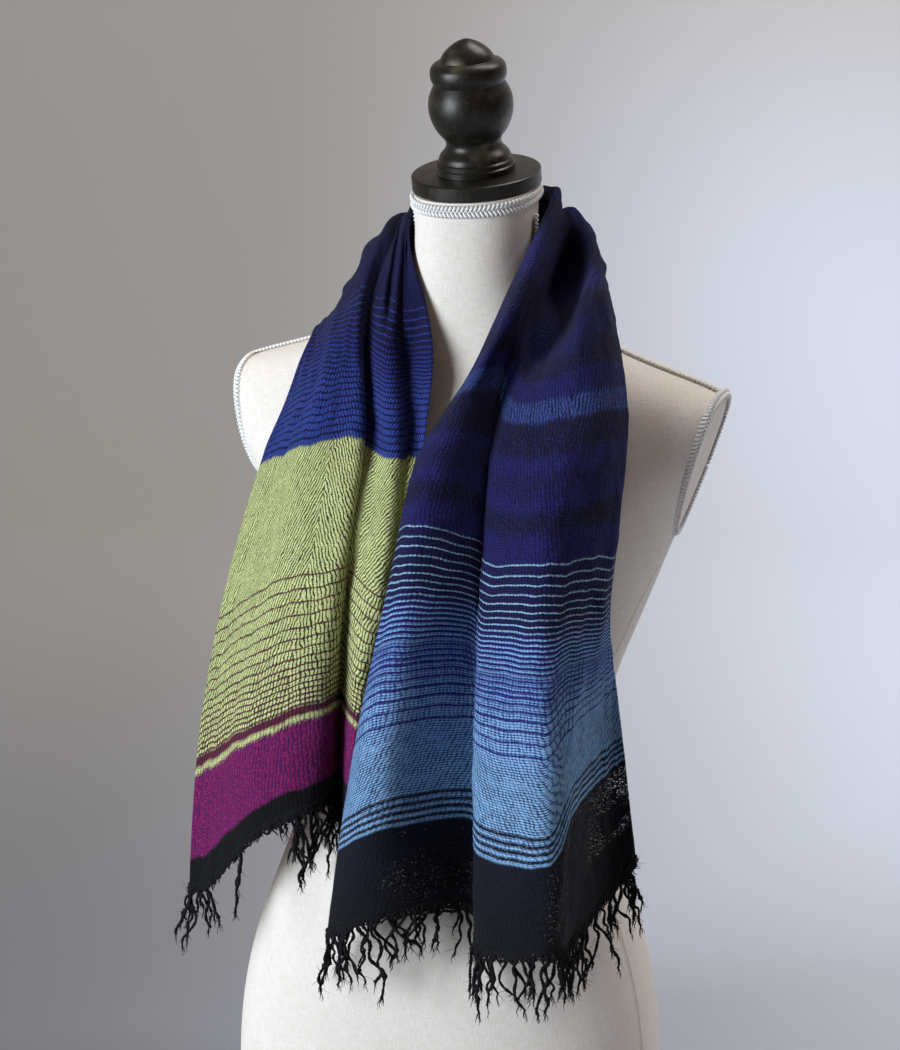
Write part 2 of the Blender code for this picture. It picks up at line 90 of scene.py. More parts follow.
# Shawl, one row a section: name, place along the cloth, inner edge x y z, outer edge x y z
SECTIONS = (
    ("green hem", 0, -10, -112, 307, -210, -98, 202),
    ("green waist", 75, -13, -116, 373, -207, -95, 297),
    ("green bust", 190, -8, -138, 488, -191, -88, 432),
    ("green chest", 300, -11, -116, 589, -159, -82, 563),
    ("green breast", 358, -10, -106, 639, -138, -84, 616),
    ("green shoulder", 418, -16, -88, 680, -131, -50, 661),
    ("neck side one", 504, -48, -42, 755, -130, -6, 668),
    ("nape one", 585, -39, 9, 770, -90, 55, 660),
    ("nape", 654, 0, 24, 784, 0, 83, 658),
    ("nape two", 723, 39, 9, 782, 90, 55, 662),
    ("neck side two", 806, 53, -13, 774, 117, -6, 671),
    ("blue shoulder", 893, 35, -84, 699, 121, -44, 668),
    ("blue swag", 948, 17, -98, 651, 123, -66, 655),
    ("blue breast", 1010, -10, -122, 599, 125, -84, 600),
    ("blue bust", 1082, -21, -143, 533, 129, -90, 521),
    ("blue waist", 1210, -47, -148, 380, 145, -86, 410),
    ("blue hem", 1380, -70, -146, 200, 167, -84, 273),
)

# Folds, one row a fold from the inner edge outward, one column a section of the table above.
# Share of the way from the inner edge to the outer edge
FOLD_SHARE = (
    (.14, .15, .11, .11, .19, .24, .12, -.01, -.03, .05, .16, .04, .11, .15, .13, .14, .18),
    (.23, .22, .18, .18, .25, .29, .27, .10, .11, .12, .31, .21, .25, .37, .39, .44, .47),
    (.36, .35, .34, .39, .48, .51, .48, .14, .17, .20, .40, .34, .30, .38, .40, .44, .49),
    (.38, .36, .37, .43, .53, .54, .66, .26, .28, .33, .57, .44, .49, .59, .57, .60, .66),
    (.58, .59, .54, .57, .62, .67, .84, .45, .49, .48, .72, .54, .78, .85, .80, .78, .78),
    (.85, .84, .82, .77, .76, .91, .93, .66, .70, .73, .88, .85, 1.07, 1.10, 1.02, .92, .89),
)
# How far the fold stands out from the line between the edges
FOLD_OUT = (
    (-6, -7, 0, -1, -4, -4, -5, 9, 11, 4, -4, 25, 20, 25, 26, 30, 36),
    (21, 21, 16, 15, 12, 14, -13, 3, 4, 1, -10, 6, 2, 4, 13, 12, 16),
    (-3, -3, 5, 4, 0, -1, -22, 9, 13, 4, -7, 5, 17, 24, 32, 37, 46),
    (21, 22, 17, 17, 8, 9, -26, 11, 19, 5, -4, 27, 39, 54, 63, 73, 81),
    (38, 37, 26, 24, 15, 5, -18, 6, 12, 2, -2, 51, 58, 62, 64, 64, 63),
    (14, 14, 9, 15, 11, -4, -9, 10, 18, 4, -2, 23, 27, 28, 31, 26, 26),
)
# How far the fold sinks below that line
FOLD_DROP = (
    (2, 2, 3, 1, -1, -1, -15, -3, 0, -11, -30, 1, -5, -2, -9, -23, -17),
    (-13, -15, -3, -2, 3, 2, -40, -1, 0, -3, -31, -2, -7, 4, 2, -10, 2),
    (-34, -30, -25, -10, -9, -14, -46, -3, 0, -10, -42, 2, 18, 15, 12, 0, 23),
    (-37, -35, -29, -19, -14, -16, -69, -4, 0, -14, -47, 11, 27, 20, 8, 2, 27),
    (-34, -30, -27, -17, -14, -16, -48, -2, 0, -7, -39, 3, 21, 12, 2, 5, 34),
    (-4, -13, -12, -11, -11, -11, -16, -4, 0, -10, -22, -26, 10, 2, -2, 2, 20),
)
FOLD_PLACE = (0.0, 0.11, 0.22, 0.32, 0.42, 0.58, 0.78, 1.0)

# Turned finial: height above the neck cap, radius
FINIAL_PROFILE = (
    (0, 31.4), (4.4, 31.6), (5.4, 30.4), (8.6, 30.4), (9.6, 28.8), (12.5, 28.2), (15.5, 26.2),
    (18.5, 23.4), (22, 21.9), (25, 22.2), (28.5, 24.4), (33, 27.8), (40, 31.2), (47, 33.1),
    (54, 33.4), (61, 32.2), (66.5, 29.8), (70, 27.9), (71.2, 28.3), (74, 29.6), (79, 30.1),
    (83.5, 29), (86.5, 26), (88, 21.6), (91.5, 19.9), (95.5, 16.7), (99, 12.4), (102, 7.4),
    (104, 2),
)
# Neck disc: height, radius
CAP_PROFILE = (
    (0, 0.01), (0, 50.6), (0.9, 51.5), (6, 51.5), (11, 51.5), (11.8, 50.6), (12, 49), (12, 0.01),
)
CAP_HEIGHT = 12.0
FINIAL_CORNERS = (4.4, 5.4, 8.6, 9.6, 70, 71.2, 86.5, 88)
SEAM = 0.3                         # space between one solid and the next

# Gimp braids: width, thickness
NECK_BRAID = (12.0, 2.4)
ARM_BRAID = (10.0, 2.8)
SHOULDER_BRAID = (8.5, 1.9)
GIMP_PITCH = 3.3
GIMP_RADII = (0.14, 0.27, 0.35, 0.39, 0.40, 0.36, 0.20)   # of one petal, as shares of the pitch
EDGE_ROUND = 2.0
SHOULDER_LINE = (-10.0, 14.0, 30.0)    # room for the shoulder braids: y, half width, least x
PILLOW_RINGS = (0.95, 0.88, 0.78, 0.64, 0.46, 0.24)
TORSO_SIDES = 168
TORSO_LEVELS = ((0, 620, 104), (625, 700, 31), (705, 820, 20))      # from, to, how many
FAR_OFF = 200.0                    # stands for a seam that doesn't reach a place
ONE_TURN = np.linspace(0.0, 2 * np.pi, 241)

# Seam down each side of the form: height, y
SIDE_SEAM = ((0, -56), (100, -55), (200, -54), (340, -44), (421, -39), (470, -34), (502, -20))

# Soft creases, one row each: across (share of the width), along, half length along, half width
# across, height, slant (mm across for each mm along)
CREASES = (
    (0.62, 60, 60, 9, 1.5, 0.10), (0.80, 130, 70, 10, 1.6, -0.06), (0.90, 245, 50, 8, 1.2, 0.00),
    (0.70, 235, 60, 9, -1.3, 0.12), (0.57, 330, 45, 7, 1.2, 0.10), (0.12, 110, 60, 7, 1.0, 0.00),
    (0.10, 260, 60, 7, -1.0, 0.04), (0.21, 340, 60, 9, 2.6, 0.02), (0.66, 400, 40, 7, 1.4, -0.05),
    (0.82, 470, 35, 8, 1.8, 0.00), (0.31, 440, 34, 7, 3.2, -0.10), (0.09, 450, 40, 7, 2.6, 0.05),
    (0.30, 600, 34, 7, 1.6, 0.05), (0.52, 650, 45, 8, -1.6, 0.00), (0.62, 700, 40, 8, 1.8, -0.10),
    (0.85, 640, 45, 9, 1.6, 0.06), (0.80, 740, 40, 9, 1.4, 0.05), (0.40, 560, 40, 7, 1.3, 0.00),
    (0.90, 860, 40, 8, 0.5, 0.00), (0.72, 905, 34, 8, 0.8, -0.15), (0.14, 880, 60, 9, 3.0, 0.00),
    (0.56, 875, 46, 10, 4.0, 0.05), (0.50, 985, 32, 9, 1.4, 0.30), (0.66, 1010, 30, 10, 1.6, -0.30),
    (0.56, 1050, 40, 10, -1.5, 0.12), (0.78, 1075, 45, 8, 1.6, 0.00), (0.20, 1040, 50, 7, 1.2, 0.05),
    (0.10, 1150, 70, 8, 1.2, 0.00), (0.22, 1240, 60, 8, -1.2, 0.08), (0.44, 1150, 50, 7, 1.3, 0.06),
    (0.60, 1200, 70, 8, 2.6, -0.35), (0.86, 1200, 50, 8, 1.7, 0.00), (0.53, 1310, 60, 8, 3.0, -0.30),
    (0.36, 1260, 45, 6, -1.0, 0.00), (0.90, 1320, 40, 8, 1.5, 0.00),
    (0.45, 300, 110, 10, 3.5, 0.00), (0.65, 280, 150, 22, 5.0, 0.00),
    (0.17, 400, 60, 8, 3.0, 0.00), (0.90, 400, 50, 8, 2.5, 0.10), (0.44, 930, 46, 8, 3.0, 0.12),
    (0.62, 835, 50, 8, 3.5, 0.10), (0.86, 800, 60, 8, 0.8, 0.00), (0.74, 1120, 60, 9, 2.2, 0.00),
)
# The green fall's broad fold leans over its valley: place across, sideways move
LEAN = (
    (0.0, 0.0), (0.10, 2.0), (0.15, 4.0), (0.20, 6.0), (0.24, 6.5), (0.28, 9.0), (0.32, 11.5),
    (0.36, 13.0), (0.40, 16.0), (0.44, 18.0), (0.50, 14.0), (0.60, 8.0), (0.80, 2.0), (1.0, 0.0),
)
# Hollows pressed in between the folds: across, along, half length, half width, depth
HOLLOWS = (
    (0.335, 80, 110, 7, 5.0), (0.335, 250, 90, 8, 9.0), (0.345, 360, 60, 8, 9.0),
    (0.215, 466, 40, 9, 12.0), (0.365, 872, 44, 29, 36.0), (0.30, 985, 60, 9, 7.0),
    (0.24, 1110, 80, 9, 6.0), (0.215, 1260, 125, 22, 24.0), (0.82, 1290, 110, 44, 14.0),
    (0.32, 1190, 170, 30, 20.0),
)
SIDEWAYS = (0.961, 0.276, 0.0)
INWARD = (-0.269, 0.938, -0.216)
LEAN_STRETCH = ((80.0, 290.0), (300.0, 430.0))     # where along the cloth the lean grows and fades
OUTER_TUCK = (6.5, 786.0, 36.0)    # outer edge moved in behind the shoulder: how far, middle, half length
GATHERED = ((455.0, 560.0), (700.0, 766.0))        # where the gathers begin and end
GATHER_HEIGHT = 5.6
GATHER_PITCH = 34.0

# Small ripples: height, then for the waves across and for those along: length, sway, length of the
# sway, and the start of the waves across
RIPPLES = (
    (0.55, 7.3, 1.3, 31.0, 19.0, 2.0, 41.0, 0.0),
    (0.42, 3.9, 2.1, 17.0, 11.0, 1.5, 23.0, 1.0),
    (0.22, 2.3, 1.7, 9.0, 6.1, 1.9, 13.0, 0.0),
)

# Weft lines of each stretch: place along the cloth, thickness
MAROON_LINES = (
    (88, 1.6), (91.5, 1.5), (95.5, 1.5), (100, 1.4), (104.5, 1.4), (109, 1.4), (114, 1.4),
    (119.5, 1.4), (126, 1.4), (133.5, 1.4), (141.5, 1.4), (150, 1.4), (160, 1.4), (170, 1.4),
    (180, 1.4), (190.5, 1.5),
)
ROYAL_LINES = (
    (303.2, 5.0), (309.6, 4.8), (316.2, 4.9), (322.8, 4.8), (329.3, 4.7), (335.8, 4.6),
    (342.2, 4.4), (348.4, 4.1), (354.2, 3.7), (359.5, 3.3), (364.5, 3.0), (369.3, 2.8),
    (374.1, 2.7), (378.8, 2.6), (383.5, 2.5), (388.2, 2.4), (393.0, 2.3), (398.0, 2.1),
    (403.4, 1.9), (409.0, 1.7), (414.8, 1.5), (420.8, 1.3), (427.0, 1.2), (433.5, 1.0),
    (440.5, 0.8),
)
LIGHT_LINES = (
    (1081, 1.1), (1089, 1.1), (1096, 1.1), (1103.2, 1.1), (1110, 1.1), (1116, 1.1), (1121.4, 1.2),
    (1126.6, 1.2), (1131.6, 1.3), (1136.2, 1.4), (1140.4, 1.5), (1144.4, 1.6), (1148.4, 1.7),
    (1152.4, 1.8), (1156.5, 1.9), (1160.7, 2.0), (1164.8, 2.0),
)
DARK_LINES = (
    (1168.6, 1.9), (1172.8, 1.9), (1177.2, 1.9), (1181.8, 1.9), (1187.0, 1.9), (1193.2, 1.9),
    (1200.2, 1.9), (1208.0, 1.9), (1217.4, 1.9), (1227.4, 1.9), (1289.6, 2.6), (1295.6, 2.7),
    (1301.6, 2.8), (1307.2, 2.7),
)

# Colours, as red, green, blue of 255
COLOURS = {
    "fringe": (9, 9, 11),
    "hem": (7, 7, 11),
    "hem blue": (12, 15, 33),
    "purple": (100, 20, 78),
    "rose": (176, 40, 110),
    "violet": (58, 20, 84),
    "maroon": (92, 26, 58),
    "plum": (120, 44, 84),
    "lime": (204, 210, 142),
    "cream": (230, 232, 176),
    "moss": (34, 40, 16),
    "royal": (48, 68, 146),
    "royal deep": (40, 50, 134),
    "royal row": (14, 13, 56),
    "night": (8, 7, 25),
    "indigo": (18, 17, 62),
    "dusk": (28, 27, 92),
    "mid": (25, 23, 84),
    "mid fleck": (46, 46, 126),
    "steel": (42, 58, 118),
    "steel fleck": (76, 98, 166),
    "pale": (154, 192, 216),
    "sky": (134, 180, 226),
    "sky mid": (110, 152, 212),
    "sky fleck": (170, 208, 236),
    "ink": (25, 23, 104),
    "navy": (9, 10, 20),
    "soot": (24, 27, 42),
    "yarn shade": (6, 6, 7),
    "yarn": (24, 24, 27),
    "linen shade": (224, 214, 202),
    "linen": (241, 235, 226),
    # Painted shade along the form's seams: a darker band beside each seam, darker still down its middle
    "seam": (150, 132, 112),
    "stitch": (236, 228, 216),
    "groove": (120, 100, 80),
    "gimp shade": (226, 224, 220),
    "gimp": (250, 250, 248),
    "bronze shade": (24, 22, 19),
    "bronze": (44, 41, 36),
    "bronze worn": (74, 68, 52),
    "bronze gold": (118, 112, 88),
    # Studio greys: darker at the left and near, lighter and bluer at the right, as painted light and shade
    "floor": (120, 119, 121),
    "floor far": (164, 161, 157),
    "wall left": (172, 168, 163),
    "wall right": (196, 191, 184),
    "floor right": (222, 229, 244),
    "wall near": (134, 112, 94),
}

# Ground colours along the cloth: where each starts, colour, softness of the change
GROUND = (
    (-20, "hem", 1), (18, "purple", 2), (74.2, "lime", 0.8), (78.4, "maroon", 0.8), (86, "lime", 0.8),
    (300, "royal row", 0.8), (372, "night", 40), (440, "indigo", 30), (500, "night", 26),
    (562, "indigo", 12), (592, "night", 12), (630, "indigo", 12), (664, "night", 12),
    (700, "indigo", 12), (736, "night", 12), (775, "mid", 14), (803, "night", 12),
    (838, "mid", 12), (870, "night", 10), (892, "indigo", 12), (914, "night", 9), (931, "mid", 6),
    (949, "steel", 2.0), (968.5, "night", 2.0), (1000, "mid", 10), (1014, "indigo", 8),
    (1030, "mid", 8), (1043, "night", 7), (1059, "mid", 8), (1080, "indigo", 1.5),
    (1132, "dusk", 12), (1166.6, "sky mid", 1.4), (1196, "sky", 30),
    (1311.6, "hem blue", 0.8), (1350, "navy", 30),
)
# Colour of the paler threads that fleck each ground
FLECK = (
    (-20, "soot", 1), (18, "rose", 2), (73.6, "cream", 0.8), (78.6, "plum", 0.8), (86, "cream", 0.8),
    (300, "royal deep", 0.8), (440, "mid", 20), (760, "mid fleck", 20), (949, "steel fleck", 2),
    (968.5, "mid fleck", 2), (1140, "mid", 12), (1164, "sky fleck", 4), (1311.6, "soot", 0.8),
)
LINE_COLOUR = (
    (-20, "maroon", 1), (296, "royal", 1), (372, "royal deep", 40), (420, "royal", 20),
    (700, "pale", 10), (1130, "sky", 30), (1166.4, "ink", 0.8), (1250, "night", 4),
)
TICK_COLOUR = (
    (-20, "fringe", 1), (18, "violet", 1), (73.6, "moss", 1), (300, "royal row", 1), (470, "night", 8),
    (1140, "ink", 16), (1240, "royal row", 20), (1312, "fringe", 1),
)
# Strength of the dark ticks between the threads: place along the cloth, share
TICK_STRENGTH = (
    (0, 0.5), (18, 0.75), (72, 0.75), (74, 0.6), (79, 0.5), (86, 0.95), (190, 1.0), (299, 1.0),
    (301, 1.0), (372, 0.95), (450, 0.8), (700, 0.7), (948, 0.7), (950, 0.9), (968, 0.9),
    (970, 0.7), (1080, 0.6), (1140, 0.7), (1166, 1.0), (1230, 1.0), (1286, 1.0), (1312, 0.5),
    (1380, 0.5),
)
# How far the ticks run as hairlines between the rows, not as slanted lines of dots: place, share
HAIRLINES = (
    (0, 0.5), (73, 0.5), (86, 0.15), (180, 0.05), (299, 0.05), (302, 0.0), (440, 0.1), (520, 0.5),
    (700, 0.5), (945, 0.4), (950, 0.1), (968, 0.1), (975, 0.4), (1140, 0.7), (1160, 1.0), (1290, 0.9),
    (1380, 0.6),
)
# Share of the flecks: place, share
FLECKED = (
    (0, 0.3), (17, 0.3), (19, 0.9), (73, 0.9), (75, 0.3), (299, 0.3), (301, 0.5), (440, 0.5),
    (500, 0.62), (1076, 0.62), (1082, 0.45), (1150, 0.2), (1168, 0.25), (1310, 0.25),
    (1313, 0.5), (1380, 0.4),
)
# How far the bands' edges run into each other: place, millimetres
FEATHER = (
    (0, 1.5), (14, 5), (100, 4), (310, 1), (430, 6), (520, 12), (930, 12), (946, 4), (972, 4),
    (990, 12), (1066, 8), (1078, 2), (1380, 1),
)
# Slant of the ticks: place along the cloth, mm across for each mm along
TICK_SLANT = (
    (0, 0.05), (90, 0.10), (180, 0.30), (200, 0.50), (300, 0.50), (302, 0.40), (400, 0.30),
    (760, 0.2), (1080, 0.15), (1166, 0.10), (1226, 0.10), (1230, 0.42), (1290, 0.42), (1380, 0.1),
)
TICK_PITCH = 3.3
INNER_SLANT = 1.5                  # how much steeper the ticks of the green end's inner fold lie
ROW_PITCH = 2.05
CHEVRONS = (0.31, 0.535)           # shares of the width where the slant turns back
LOOSE_LINE = 10.0                  # lines further apart than this are drawn as if this far apart
RAMP_ROWS = 12                     # bands that one ramp holds
RAMP_MARGIN = 20.0                 # how far a ramp reads past its stretch
LEVEL_MARGIN = 30.0

# The cloth is pulled out of square near the blue hem: shift of the weft, where it starts and ends
PULL = (32.0, 0.47, 0.60, 1100.0, 1275.0)
OPEN_PATCHES = ((34.0, 112.0), 164.0)  # across the blue hem, from its inner edge

GRID = 2.3                         # spacing of the cloth's points
IRON_SPAN = 21                     # points along the cloth that are evened out together
IRONED = (815.0, 24.0)             # middle and half length of the stretch that is evened out
RIM = 3.0                          # width of the cloth's thinner edge

LINEN_THREAD = (1.9, 0.10)         # how finely a thread changes across and along itself
STITCH_PITCH = 3.2

HEM_POINTS = 181
STRAND_POINTS = 46
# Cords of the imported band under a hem: place below the hem, radius, waviness
HEM_CORDS = ((-0.8, 1.1, 0.2), (0.7, 1.3, 0.8), (2.6, 1.3, 1.2), (4.6, 1.15, 1.6), (6.6, 1.0, 2.2))

# Clusters of fringe yarns: place across, yarns, length, half width, how far they draw together
GREEN_CLUSTERS = (
    (0.975, 6, 54, 5, 0.9), (0.90, 3, 34, 4, 0.6), (0.84, 3, 46, 4, 1.4), (0.66, 2, 62, 1.2, 0.5),
    (0.53, 3, 14, 6, -1.2), (0.50, 7, 60, 6, 0.5), (0.45, 6, 58, 6, 0.9), (0.39, 5, 60, 6, 0.7),
    (0.31, 5, 50, 6, 0.7), (0.24, 4, 46, 6, 0.8), (0.17, 4, 48, 5, 0.6), (0.10, 4, 44, 5, 0.8),
    (0.03, 5, 50, 5, 0.8),
)
BLUE_CLUSTERS = (
    (0.01, 6, 60, 4, 0.7), (0.05, 7, 50, 6, 0.7), (0.085, 5, 64, 5, 0.9), (0.12, 4, 44, 4, 0.6),
    (0.15, 6, 46, 4, 0.9), (0.175, 3, 30, 5, -1.0), (0.205, 3, 52, 4, 1.0), (0.24, 3, 54, 4, 0.6),
    (0.30, 5, 50, 5, 0.9), (0.35, 5, 50, 5, 0.6), (0.40, 6, 44, 5, 1.1), (0.44, 3, 42, 6, -0.9),
    (0.48, 2, 60, 2, 0.6), (0.52, 2, 34, 5, -1.0), (0.57, 7, 52, 6, 0.9), (0.63, 4, 46, 5, 0.8),
    (0.69, 3, 54, 4, -0.6), (0.76, 3, 54, 5, -0.8), (0.83, 4, 32, 5, 0.6), (0.90, 5, 46, 5, 0.9),
    (0.97, 5, 42, 4, 0.8),
)

# The photograph's camera: focal length, image size and the aim's place in it, in pixels
FOCAL = 2400.0
IMAGE = (900.0, 1050.0)
AIM_PIXEL = (477.0, 190.0)
AIM = (0.0, -29.0, 790.0)
CAMERA_DISTANCE = 1920.0
CAMERA_TURN = math.radians(16.0)
CAMERA_PITCH = math.radians(12.5)
CAMERA_ROLL = math.radians(2.0)
SENSOR = 36.0

# Studio, in metres: radius of the flat floor, radius of its sweep, height of the wall
FLOOR_REACH = 2.4
SWEEP = 2.0
WALL_TOP = 4.5
DAYLIGHT = (1.0, 0.77, 0.57, 1.0)
DAYLIGHT_STRENGTH = 0.27
# Soft lights, by the camera's own right, depth and height: place, target, size, power, colour
LIGHTS = {
    "window": ((-2.2, -1.38, 0.86), (0.0, 0.0, 0.5), (1.3, 1.6), 91.0, (0.81, 0.90, 1.0)),
    "wall_wash": ((1.2, 0.6, 3.4), (0.6, 3.4, 0.8), (2.2, 1.2), 105.0, (0.95, 0.97, 1.0)),
}


def smooth(xs, ys, query):
    """Natural cubic spline through the rows ys at xs, read at query."""
    xs = np.asarray(xs, float)
    ys = np.asarray(ys, float)
    query = np.asarray(query, float)
    count = len(xs)
    step = np.diff(xs)
    matrix = np.eye(count)
    right = np.zeros_like(ys)
    for i in range(1, count - 1):
        matrix[i, i - 1:i + 2] = step[i - 1], 2 * (step[i - 1] + step[i]), step[i]
        right[i] = 6 * ((ys[i + 1] - ys[i]) / step[i] - (ys[i] - ys[i - 1]) / step[i - 1])
    bend = np.linalg.solve(matrix, right.reshape(count, -1)).reshape(ys.shape)
    at = np.clip(np.searchsorted(xs, query) - 1, 0, count - 2)
    tail = (-1,) + (1,) * (ys.ndim - 1)
    after = (query - xs[at]).reshape(tail)
    before = (xs[at + 1] - query).reshape(tail)
    h = step[at].reshape(tail)
    curve = (bend[at] * before ** 3 + bend[at + 1] * after ** 3) / (6 * h)
    line = (ys[at] / h - bend[at] * h / 6) * before + (ys[at + 1] / h - bend[at + 1] * h / 6) * after
    return curve + line


def unit(rows):
    return rows / np.maximum(np.linalg.norm(rows, axis=-1, keepdims=True), 1e-9)


def ease(low, high, value):
    """Smooth step of a value from 0 at low to 1 at high."""
    share = np.clip((np.asarray(value, float) - low) / (high - low), 0.0, 1.0)
    return share * share * (3 - 2 * share)


def bell(value, middle, half):
    return np.exp(-((value - middle) / half) ** 2)


def length_along(path):
    """Distance from a path's start to each of its points."""
    return np.concatenate([[0.0], np.cumsum(np.linalg.norm(np.diff(path, axis=0), axis=1))])


def form_level(z):
    """Half width, depth before and behind the centre line, and centre y, at some heights."""
    levels = np.array(FORM_LEVELS, float)
    return smooth(levels[:, 0], levels[:, 1:], np.clip(z, levels[0, 0], levels[-1, 0])).T


def bust(x, z):
    """How far the bust stands out before the form's own section."""
    rise, spacing, height, spread = BUST
    return rise * np.exp(-((np.abs(x) - spacing) ** 2 + (z - height) ** 2) / (2 * spread ** 2))


def form_reading(points):
    """About 0 on the form's skin, more outside, as a share of its own radius."""
    x, y, z = np.reshape(points, (-1, 3)).T
    half, front, back, centre = form_level(z)
    deep = np.where(y < centre, front + bust(x, z), back)
    total = np.abs(x / half) ** SECTION_POWER + np.abs((y - centre) / deep) ** SECTION_POWER
    return (total ** (1 / SECTION_POWER) - 1).reshape(points.shape[:-1])


def form_distance(points):
    """Distance from the form's skin, and the way out."""
    slope = np.stack([form_reading(points + move) - form_reading(points - move)
                      for move in np.eye(3) * 0.5], axis=-1)
    size = np.maximum(np.linalg.norm(slope, axis=-1), 1e-6)
    return form_reading(points) / size, slope / size[..., None]


def lay_on_form(points, space):
    """Move points out until they are the wanted space from the form."""
    points = np.array(points, float)
    line, half, least = SHOULDER_LINE
    for _ in range(5):
        distance, outward = form_distance(points)
        seam = bell(points[..., 1], line, half) * (np.abs(points[..., 0]) > least)
        short = space + (SHOULDER_BRAID[1] + 2 * SEAM) * seam - distance
        soft = 1.2 * np.logaddexp(0.0, short / 1.2)
        points += outward * np.where(short > -8, soft, 0.0)[..., None] * 0.6
    return off_form(points, space)


def off_form(points, space):
    """Push points out of the form."""
    distance, outward = form_distance(points)
    return points + outward * np.maximum(space - distance, 0.0)[..., None]


def section_controls():
    """Edges and fold crowns of every section."""
    rows = np.array([row[1:] for row in SECTIONS], float)
    along, inner, outer = rows[:, 0], rows[:, 1:4], rows[:, 4:7]
    middle = (inner + outer) / 2
    path = unit(smooth(along, middle, along + 1.0) - smooth(along, middle, along - 1.0))
    across = outer - inner
    out = unit(np.cross(path, across))
    controls = [inner]
    for share, rise, drop in zip(FOLD_SHARE, FOLD_OUT, FOLD_DROP):
        point = inner + across * np.array(share)[:, None] + out * np.array(rise)[:, None]
        point[:, 2] -= np.array(drop)
        controls.append(point)
    return along, np.stack(controls + [outer], axis=1)


def cloth_normals(points):
    return unit(np.cross(np.gradient(points, axis=0), np.gradient(points, axis=1)))


def gathers(u, v):
    """Lengthwise folds where the cloth is bunched over the shoulders and round the nape."""
    bunched = ease(*GATHERED[0], v) * (1.0 - ease(*GATHERED[1], v))
    sway = 5.0 * np.sin(v / 33.0 + 1.0) + 4.0 * np.sin(v / 19.0 + u / 60.0)
    wave = np.cos(2 * np.pi * (u + sway) / GATHER_PITCH)
    uneven = 0.75 + 0.25 * np.sin(u / 29.0 + v / 61.0)
    return GATHER_HEIGHT * bunched * uneven * (1.0 + wave)


def relief(u, v):
    """Creases, ripples and gathers, as heights above the smooth cloth."""
    total = np.zeros(u.shape)
    for share, station, length, width, height, slant in CREASES:
        dv = (v - station) / length
        du = (u - share * CLOTH_WIDTH - slant * (v - station)) / width
        total += height * np.exp(-dv ** 2 - du ** 2)
    for height, fine, sway, slow, far, roll, wide, start in RIPPLES:
        across = np.sin(u / fine + sway * np.sin(v / slow) + start)
        total += height * across * np.sin(v / far + roll * np.sin(u / wide))
    total += gathers(u, v)
    return total * (ease(0.0, 14.0, np.minimum(u, CLOTH_WIDTH - u)) * 0.7 + 0.3)


def leaning(places, stations, v):
    """Sideways moves: the broad fold over its valley, and the outer edge behind the shoulder."""
    grows, fades = [ease(*stretch, stations) for stretch in LEAN_STRETCH]
    lean = smooth(*zip(*LEAN), places) * ((0.35 + 0.65 * grows) * (1.0 - 0.9 * fades))[:, None]
    move, middle, half = OUTER_TUCK
    return lean - move * bell(v, middle, half) * ease(0.74, 0.97, places)


def shawl_surface(places, stations):
    """Middle of the cloth with its creases: one row of points for each station."""
    along, controls = section_controls()
    rows = smooth(along, controls, stations)
    points = smooth(FOLD_PLACE, np.swapaxes(rows, 0, 1), places)
    points = lay_on_form(np.swapaxes(points, 0, 1), WALL / 2 + REST)
    v, u = np.meshgrid(stations, places * CLOTH_WIDTH, indexing="ij")
    points = points + cloth_normals(points) * relief(u, v)[..., None]
    points = points + np.array(SIDEWAYS) * leaning(places, stations, v)[..., None]
    hollow = np.zeros(u.shape)
    for share, station, length, width, depth in HOLLOWS:
        away = ((v - station) / length) ** 2 + ((u - share * CLOTH_WIDTH) / width) ** 2
        hollow = np.maximum(hollow, depth * np.exp(-away ** 2.0))
    points = points + np.array(INWARD) * hollow[..., None]
    return ironed(lay_on_form(points, WALL / 2 + REST), u / CLOTH_WIDTH, v)


def ironed(points, share, v):
    """Even out the outer edge along the cloth where it passes over the shoulder."""
    if len(points) < IRON_SPAN:
        return points
    half = IRON_SPAN // 2
    padded = np.pad(points, ((half, half), (0, 0), (0, 0)), "edge")
    weights = np.hanning(IRON_SPAN + 2)[1:-1]
    even = sum(weight * padded[k:k + len(points)] for k, weight in enumerate(weights)) / weights.sum()
    return points + (even - points) * (bell(v, *IRONED) * ease(0.55, 0.80, share))[..., None]


def weft_shift(u, v):
    """How far the weft has slipped from the station, in millimetres along the cloth."""
    size, inner, outer, start, end = PULL
    pulled = size * ease(inner, outer, u / CLOTH_WIDTH) * ease(start, end, v)
    wave = 0.8 * np.sin(u / 8.7 + 1.7 * np.sin(v / 43.0)) + 0.5 * np.sin(u / 4.1 + v / 29.0)
    wave += 0.6 * np.sin(u / 21.0 + v / 37.0 + 2.0) + 0.25 * np.sin(u / 2.1 + v / 13.0)
    return pulled + wave


def line_phase(v):
    """Halves on the weft lines, whole numbers between them, and the share that each line fills."""
    lines = sorted(MAROON_LINES + ROYAL_LINES + LIGHT_LINES + DARK_LINES)
    gaps = [after[0] - before[0] for before, after in zip(lines, lines[1:])]
    halves = [min(gap, LOOSE_LINE) / 2 for gap in [LOOSE_LINE] + gaps + [LOOSE_LINE]]
    at, phase, duty = [], [], []
    for k, (centre, thick) in enumerate(lines):
        before, after = halves[k:k + 2]
        at += [centre - before, centre, centre + after]
        phase += [k, k + 0.5, k + 1]
        duty += [thick / (before + after)] * 3
    return np.interp(v, at, phase), np.interp(v, at, duty)


def across_cloth(points):
    """Distance across the cloth to each point, scaled to the cloth's own width."""
    reach = np.array([length_along(row) for row in points])
    return reach / reach[:, -1:] * CLOTH_WIDTH


